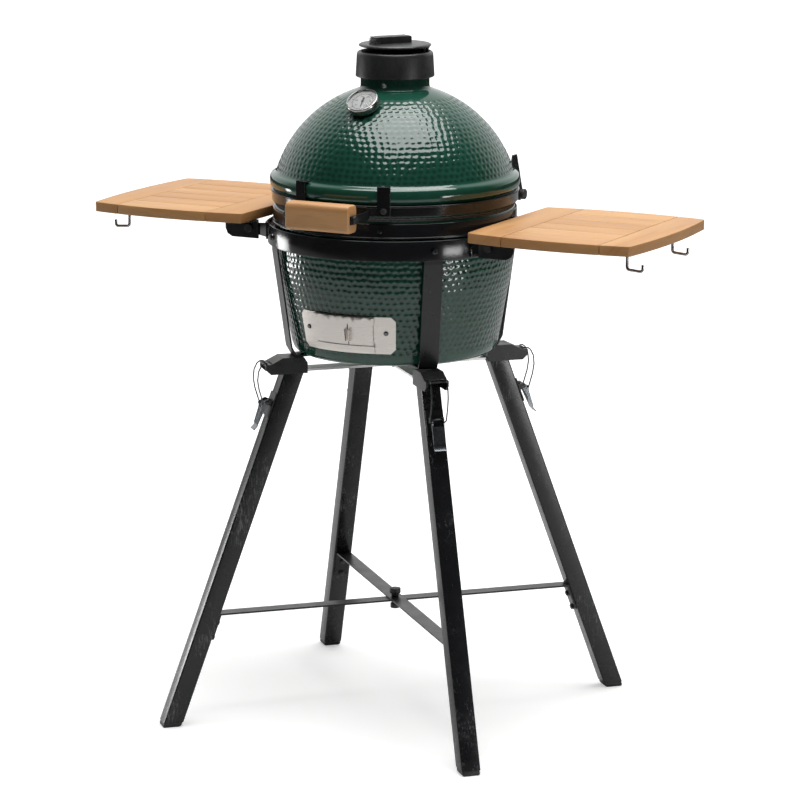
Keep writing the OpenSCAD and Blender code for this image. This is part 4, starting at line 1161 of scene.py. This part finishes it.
# the hooks: a plate screwed under the wood, and a rod bent down, out and up
hook_look = plated("hook_chrome", (0.33, 0.31, 0.295), 0.22)
HOOK_Y, HOOK_REACH = (-130, 51), 27
for side, name, hook_x in ((1, "right", SHELF_OUT - 24), (-1, "left", SHELF_OUT - 65)):
    paths = [
        [
            (side * hook_x, y, SHELF_LOW - 1),
            (side * hook_x, y, SHELF_LOW - 24),
            (side * (hook_x + HOOK_REACH), y, SHELF_LOW - 26),
            (side * (hook_x + HOOK_REACH), y, SHELF_LOW - 15),
        ]
        for y in HOOK_Y
    ]
    rods = bent_wires(f"hook_rods_{name}", paths, 2.4, 4.5, hook_look)
    plates = []
    for n, y in enumerate(HOOK_Y):
        inner, outer = side * (hook_x - 42), side * (hook_x + 2)
        loop = [(inner, y - 6), (outer, y - 6), (outer, y + 6), (inner, y + 6)]
        plates.append(prism(f"hook_plate_{name}_{n}", loop if side > 0 else loop[::-1], 838.4, 840.9, hook_look, (1, 0, 0), 0, 0.4))
    in_place(merged(f"shelf_hooks_{name}", [rods] + plates), f"{name}_shelf", "chrome_trim", f"shelf_irons_{name}")
in_place(edged("ring_brackets", "shelf_brackets", bright_look, 0.4), "stand", "bright_bolt", "shelf_brackets")
in_place(edged("shelf_pivots", "shelf_pivot_bolts", dark_look, 0.5), "stand", "dark_bolt", "shelf_pivot_bolts")

# ---------------------------------------------------------------- thermometer
# A bimetal dial in a plated case, tilted to the front, with its stem through the dome. The face has a plain
# ring of ticks and no maker's words.
DIAL_TILT = math.radians(36)
dial_frame = Matrix.Translation((0, -115.6, 1054.6)) @ Matrix.Rotation(DIAL_TILT, 4, "X")
dial_metres = Matrix([[*row[:3], row[3] * MM] for row in dial_frame[:3]] + [[0, 0, 0, 1]])
chrome_look = plated("dial_chrome", (0.34, 0.335, 0.33), 0.2)
case_outline = soft_corners(
    [(0, -12), (26.0, -12), (27, -10.5), (27, -1.5), (26.2, 1.4), (24.9, 1.9), (24.5, 0.4), (24.5, -4), (0, -4)], 0.9
)
collar = soft_corners([(0, -26), (13.5, -26), (15.5, -12.05), (0, -12.05)], 1.5)
stem = soft_corners([(0, -120), (3, -120), (3, -26.05), (0, -26.05)], 1.0)
case_parts = [
    turned("bezel", case_outline, chrome_look, 96, dial_frame),
    turned("collar", collar, dark_look, 64, dial_frame),
    turned("stem", stem, chrome_look, 24, dial_frame),
]
in_place(merged("dial_case", case_parts), "lid", "chrome_trim", "thermometer_case")

face_look, _, face_shader = new_shader("dial_face")
face_shader.inputs["Base Color"].default_value = (0.36, 0.36, 0.355, 1)
face_shader.inputs["Roughness"].default_value = 0.45
ink_look, _, ink_shader = new_shader("dial_ink")
ink_shader.inputs["Base Color"].default_value = (0.02, 0.02, 0.022, 1)
ink_shader.inputs["Roughness"].default_value = 0.5

tick_tree, tick_in, tick_out = start_tree("dial_ticks")
add_input(tick_tree, "Tick size", "NodeSocketVector", (0.001, 0.001, 0.001))
add_input(tick_tree, "Look", "NodeSocketMaterial")
tick_box = tick_tree.nodes.new("GeometryNodeMeshCube")
ticks = tick_tree.nodes.new("GeometryNodeInstanceOnPoints")
tick_aim = tick_tree.nodes.new("FunctionNodeAlignRotationToVector")
tick_aim.axis = "X"
tick_tree.links.new(tick_in.outputs["Tick size"], tick_box.inputs["Size"])
tick_tree.links.new(tick_in.outputs["Geometry"], ticks.inputs["Points"])
tick_tree.links.new(tick_box.outputs["Mesh"], ticks.inputs["Instance"])
tick_tree.links.new(stored(tick_tree, "aim"), tick_aim.inputs["Vector"])
tick_tree.links.new(tick_aim.outputs["Rotation"], ticks.inputs["Rotation"])
finish_tree(tick_tree, ticks.outputs["Instances"], tick_in, tick_out)


def dial_marks(name, radius, degrees, size):
    """Short bars on a circle of the face, each pointing at its middle."""
    spots, aims = [], []
    for d in degrees:
        a = math.radians(d)
        spots.append((radius * math.cos(a), radius * math.sin(a), -2.97))
        aims.append((math.cos(a), math.sin(a), 0))
    marks = grown(name, points_mesh(name, spots, aim=aims), tick_tree, {"Tick size": tuple(s * MM for s in size), "Look": ink_look})
    marks.data.transform(dial_metres)
    return marks


face_parts = [
    turned("face_disc", [(0, -4), (24.4, -4), (24.4, -3), (0, -3)], face_look, 96, dial_frame),
    turned("face_ring", [(17.0, -3.02), (17.6, -3.02), (17.6, -2.9), (17.0, -2.9)], ink_look, 96, dial_frame),
    dial_marks("long_ticks", 19.0, range(-45, 226, 54), (3.4, 0.8, 0.12)),
    dial_marks("short_ticks", 18.5, np.arange(-45, 226, 10.8), (2.2, 0.4, 0.12)),
]
for n in range(6):
    lettering = bpy.data.curves.new(f"number_{n}", "FONT")
    lettering.body, lettering.size, lettering.extrude = str(50 + 50 * n), 4.2 * MM, 0.05 * MM
    lettering.align_x = lettering.align_y = "CENTER"
    drawn = bpy.data.objects.new(f"number_{n}", lettering)
    bpy.context.scene.collection.objects.link(drawn)
    graph = bpy.context.evaluated_depsgraph_get()
    number = bpy.data.meshes.new_from_object(drawn.evaluated_get(graph), depsgraph=graph)
    bpy.data.objects.remove(drawn)
    a = math.radians(225 - 54 * n)
    number.transform(dial_metres @ Matrix.Translation((12.4 * MM * math.cos(a), 12.4 * MM * math.sin(a), -2.95 * MM)))
    number.materials.append(ink_look)
    face_parts.append(bpy.data.objects.new(f"number_{n}", number))
    bpy.context.scene.collection.objects.link(face_parts[-1])
spindle = turned("spindle", [(0, -3.5), (0.8, -3.5), (0.8, -1.3), (0, -1.3)], ink_look, 20, dial_frame)
in_place(merged("dial_face_plate", face_parts + [spindle]), "lid", "dial_face", "thermometer_dial")
NEEDLE_REST = math.radians(-84)
needle_loop = [(-9, -0.9), (-7.6, -1.7), (-5, -1.7), (-3.4, -0.8), (-1.6, -1.9), (1.6, -1.9), (3, -0.7), (15, -0.25)]
needle_loop += [(x, -y) for x, y in needle_loop[::-1]]
needle = prism("dial_needle", needle_loop, -2.5, -1.7, ink_look, (1, 0, 0), 0, 0.1)
needle.data.transform(dial_metres @ Matrix.Rotation(NEEDLE_REST, 4, "Z"))
in_place(needle, "needle", "needle_black", "thermometer_needle")
glass_look, _, glass_shader = new_shader("dial_glass")
glass_shader.inputs["Base Color"].default_value = (0.97, 0.98, 0.98, 1)
glass_shader.inputs["Roughness"].default_value = 0.03
glass_shader.inputs["Transmission Weight"].default_value = 1.0
glass_shader.inputs["IOR"].default_value = 1.12
pane = turned("dial_pane", [(0, -0.6), (24.4, -0.6), (24.4, 0.2), (23.6, 0.5), (0, 0.9)], glass_look, 96, dial_frame)
in_place(pane, "lid", "clear_glass", "thermometer_glass")

# ---------------------------------------------------------------- vent cap
# Cast and coated matt charcoal: a drum that sits on the neck, a damper plate that turns inside it, and a
# flap on a pin at the back, lifted by a ribbed grip.
cap_look, cap_tree, cap_shader = new_shader("cap_casting")
cap_place = object_coords(cap_tree)
cap_tree.links.new(
    graded(cap_tree, speckle(cap_tree, cap_place, 40, 6), [(0.3, (0.013, 0.0133, 0.0142)), (0.75, (0.024, 0.0245, 0.026))]),
    cap_shader.inputs["Base Color"],
)
cap_tree.links.new(ranged(cap_tree, speckle(cap_tree, cap_place, 110, 4), 0.3, 0.7, 0.3, 0.44), cap_shader.inputs["Roughness"])
cap_shader.inputs["Specular IOR Level"].default_value = 0.5
raised(cap_tree, cap_shader, speckle(cap_tree, cap_place, 520, 4), 0.22, 0.0006)
CAP_TOP, FLAP_LOW, PIN_BACK, PIN_UP = 1124.0, 1131.5, -57.0, 1128.4
cap_frame = Matrix.Rotation(math.radians(236), 4, "Z")


def cap_prism(name, loop, low, high, edge):
    """A casting drawn in the plane of the flap's grip (along, up) and given its width across."""
    piece = prism(name, loop, low, high, cap_look, (1, 0, 0), 0, edge)
    stand = Matrix(((1, 0, 0, 0), (0, 0, -1, 0), (0, 1, 0, 0), (0, 0, 0, 1)))
    piece.data.transform(cap_frame @ stand)
    return piece


def pin_arc(radius, start, end, steps=10):
    """Part of a circle round the flap's pin, in degrees."""
    angles = [math.radians(start + (end - start) * i / steps) for i in range(steps + 1)]
    return [(PIN_BACK + radius * math.cos(a), PIN_UP + radius * math.sin(a)) for a in angles]


def vented_plate(name, radius, low, high):
    """A round plate with the five vent holes cut through it."""
    flat = bpy.data.curves.new(name, "CURVE")
    flat.dimensions, flat.fill_mode, flat.extrude = "2D", "BOTH", (high - low) / 2 * MM
    for middle, r in [((0, 0), radius)] + [((34 * math.cos(a), 34 * math.sin(a)), 11) for a in np.arange(5) * math.radians(72)]:
        ring = flat.splines.new("POLY")
        ring.points.add(63)
        ring.use_cyclic_u = True
        for i, point in enumerate(ring.points):
            a = 2 * math.pi * i / 64
            point.co = ((middle[0] + r * math.cos(a)) * MM, (middle[1] + r * math.sin(a)) * MM, 0, 1)
    drawn = bpy.data.objects.new(name, flat)
    bpy.context.scene.collection.objects.link(drawn)
    graph = bpy.context.evaluated_depsgraph_get()
    data = bpy.data.meshes.new_from_object(drawn.evaluated_get(graph), depsgraph=graph)
    bpy.data.objects.remove(drawn)
    form = bmesh.new()
    form.from_mesh(data)
    bmesh.ops.remove_doubles(form, verts=form.verts, dist=1e-6)
    form.to_mesh(data)
    form.free()
    data.materials.append(cap_look)
    data.transform(cap_frame @ Matrix.Translation((0, 0, (low + high) / 2 * MM)))
    piece = bpy.data.objects.new(name, data)
    bpy.context.scene.collection.objects.link(piece)
    return piece


drum_outline = soft_corners(
    [
        (57.3, 1082), (64.2, 1082), (65.3, 1083.2), (63.2, 1119), (62.2, 1122.4), (59.6, 1124), (56.3, 1124),
        (56.3, 1112), (58.8, 1109), (59.8, 1090), (47, 1090), (47, 1085.05), (57.3, 1085.05),
    ],
    1.2,
)
lug_loop = [(-58, 1112.5), (-53, 1112.5), (-53, 1126.5)] + pin_arc(3, 0, 180) + [(-59, 1126.2), (-58, 1125.6)]
stub_loop = pin_arc(1.8, 0, 360, 16)[:-1]
cap_parts = [
    turned("cap_drum", drum_outline, cap_look, 160),
    vented_plate("cap_web", 59, CAP_TOP - 20, CAP_TOP - 16),
    turned("cap_hub", soft_corners([(0, CAP_TOP - 16.1), (4, CAP_TOP - 16.1), (4, CAP_TOP - 8), (0, CAP_TOP - 8)], 0.6), cap_look, 32),
]
for side in (-1, 1):
    inner, outer = sorted((side * 7.5, side * 10.5))
    cap_parts.append(cap_prism(f"cap_lug_{side}", lug_loop, inner, outer, 0.4))
    cap_parts.append(cap_prism(f"pin_stub_{side}", stub_loop, *sorted((side * 7.1, side * 10.9)), 0.1))
in_place(merged("cap_body_casting", cap_parts), "lid", "cap_iron", "cap_body")
in_place(edged("cap_damper_plate", "cap_damper", cap_look, 0.5), "damper", "cap_iron", "cap_damper")

flap_outline = soft_corners([(0, 1131.5), (57.5, 1131.5), (60, 1133.0), (60, 1134.6), (57.6, 1136.3), (30, 1137.2), (0, 1137.2)], 0.8)
grip_side = [(-26, 1135.5), (-26, 1146.5), (-24.5, 1148.4), (-21, 1148.8), (30, 1149.1), (36.5, 1148.4), (40, 1146.2), (41.4, 1142), (41.4, 1135.5)]
knuckle_loop = [(-53, 1132), (-61, 1132)] + pin_arc(4, 180, 360)
flap_parts = [
    turned("flap_disc", flap_outline, cap_look, 128),
    cap_prism("flap_grip", grip_side, -11, 11, 1.2),
    cap_prism("flap_knuckle", knuckle_loop, -7, 7, 0.5),
]
for n in range(5):
    low, reach = FLAP_LOW + 5.4 + 2.5 * n, 43.4 - 0.5 * n
    ridge_loop = [(31, low), (reach, low), (reach, low + 1.5), (31, low + 1.5)]
    flap_parts.append(cap_prism(f"grip_ridge_{n}", ridge_loop, -11.8, 11.8, 0.45))
in_place(merged("flap_casting", flap_parts), "flap", "cap_iron", "cap_flap")

# ---------------------------------------------------------------- floor, light and camera
# A white studio sweep under broad soft light, seen from the front right, a little above the shelves.
floor_data = bpy.data.meshes.new("floor")
floor_data.from_pydata([(-60, -60, 0), (60, -60, 0), (60, 60, 0), (-60, 60, 0)], [], [(0, 1, 2, 3)])
floor_look, floor_tree, floor_shader = new_shader("floor_white")
floor_shader.inputs["Roughness"].default_value = 0.9
floor_shader.inputs["Specular IOR Level"].default_value = 0.1
floor_shader.inputs["Emission Color"].default_value = (1, 1, 1, 1)
CAMERA_TURN, CAMERA_DROP = math.radians(27.6), math.radians(12.12)
SWEEP_BACK, SWEEP_EDGE = 2.6, (4.2, 5.0)
seen = add_node(floor_tree, "ShaderNodeLightPath").outputs["Is Camera Ray"]
floor_place = object_coords(floor_tree)
from_sweep = add_node(floor_tree, "ShaderNodeVectorMath", operation="DISTANCE")
floor_tree.links.new(floor_place, from_sweep.inputs[0])
from_sweep.inputs[1].default_value = (-SWEEP_BACK * math.sin(CAMERA_TURN), SWEEP_BACK * math.cos(CAMERA_TURN), 0)
sweep = ranged(floor_tree, from_sweep.outputs["Value"], *SWEEP_EDGE, 0.8, 0.06)
floor_tree.links.new(blended(floor_tree, seen, sweep, (0.8, 0.8, 0.8)), floor_shader.inputs["Base Color"])
from_grill = add_node(floor_tree, "ShaderNodeVectorMath", operation="LENGTH")
floor_tree.links.new(floor_place, from_grill.inputs[0])
lift = ranged(floor_tree, from_grill.outputs["Value"], 0.5, 3.6, 0.42, 1.0)
times = add_node(floor_tree, "ShaderNodeMath", operation="MULTIPLY")
floor_tree.links.new(lift, times.inputs[0])
floor_tree.links.new(seen, times.inputs[1])
floor_tree.links.new(times.outputs[0], floor_shader.inputs["Emission Strength"])
floor_data.materials.append(floor_look)
floor = bpy.data.objects.new("floor", floor_data)
bpy.context.scene.collection.objects.link(floor)

# the world: a lit white backdrop behind the grill, a dark studio in front of it, white wherever the camera looks
world = bpy.data.worlds.new("studio")
bpy.context.scene.world = world
world.use_nodes = True
sky = world.node_tree
towards = add_node(sky, "ShaderNodeVectorMath", operation="DOT_PRODUCT")
sky.links.new(add_node(sky, "ShaderNodeTexCoord").outputs["Generated"], towards.inputs[0])
towards.inputs[1].default_value = (-math.sin(CAMERA_TURN), math.cos(CAMERA_TURN), 0.15)
backdrop = ranged(sky, towards.outputs["Value"], 0.15, 0.65, 0.04, 1.0)
seen = add_node(sky, "ShaderNodeLightPath").outputs["Is Camera Ray"]
sky.links.new(blended(sky, seen, backdrop, (1.0, 1.0, 1.0)), sky.nodes["Background"].inputs["Color"])
sky.nodes["Background"].inputs["Strength"].default_value = 1.0
for name, spot, target, size, power in (
    ("overhead_softbox", (0.35, -0.15, 3.3), (0.1, 0, 0.9), (2.5, 2.3), 118),
    ("left_strip", (-3.0, 0.1, 0.24), (0, 0, 0.5), (1.0, 0.42), 14),
    ("right_strip", (2.95, -0.55, 0.26), (0, 0, 0.5), (0.9, 0.45), 14),
):
    lamp = bpy.data.lights.new(name, "AREA")
    lamp.shape, lamp.size, lamp.size_y, lamp.energy = "RECTANGLE", size[0], size[1], power
    light = bpy.data.objects.new(name, lamp)
    light.location = spot
    light.rotation_euler = (Vector(target) - Vector(spot)).to_track_quat("-Z", "Y").to_euler()
    bpy.context.scene.collection.objects.link(light)

camera_data = bpy.data.cameras.new("camera")
camera_data.lens, camera_data.sensor_width, camera_data.shift_x = 157.8, 36.0, 0.0062
camera_data.clip_end = 200
camera = bpy.data.objects.new("camera", camera_data)
camera.location = (5.7767 * math.sin(CAMERA_TURN), -5.7767 * math.cos(CAMERA_TURN), 1.7749)
camera.rotation_euler = (math.pi / 2 - CAMERA_DROP, 0, CAMERA_TURN)
bpy.context.scene.collection.objects.link(camera)
bpy.context.scene.camera = camera
bpy.context.scene.view_settings.view_transform = "Standard"
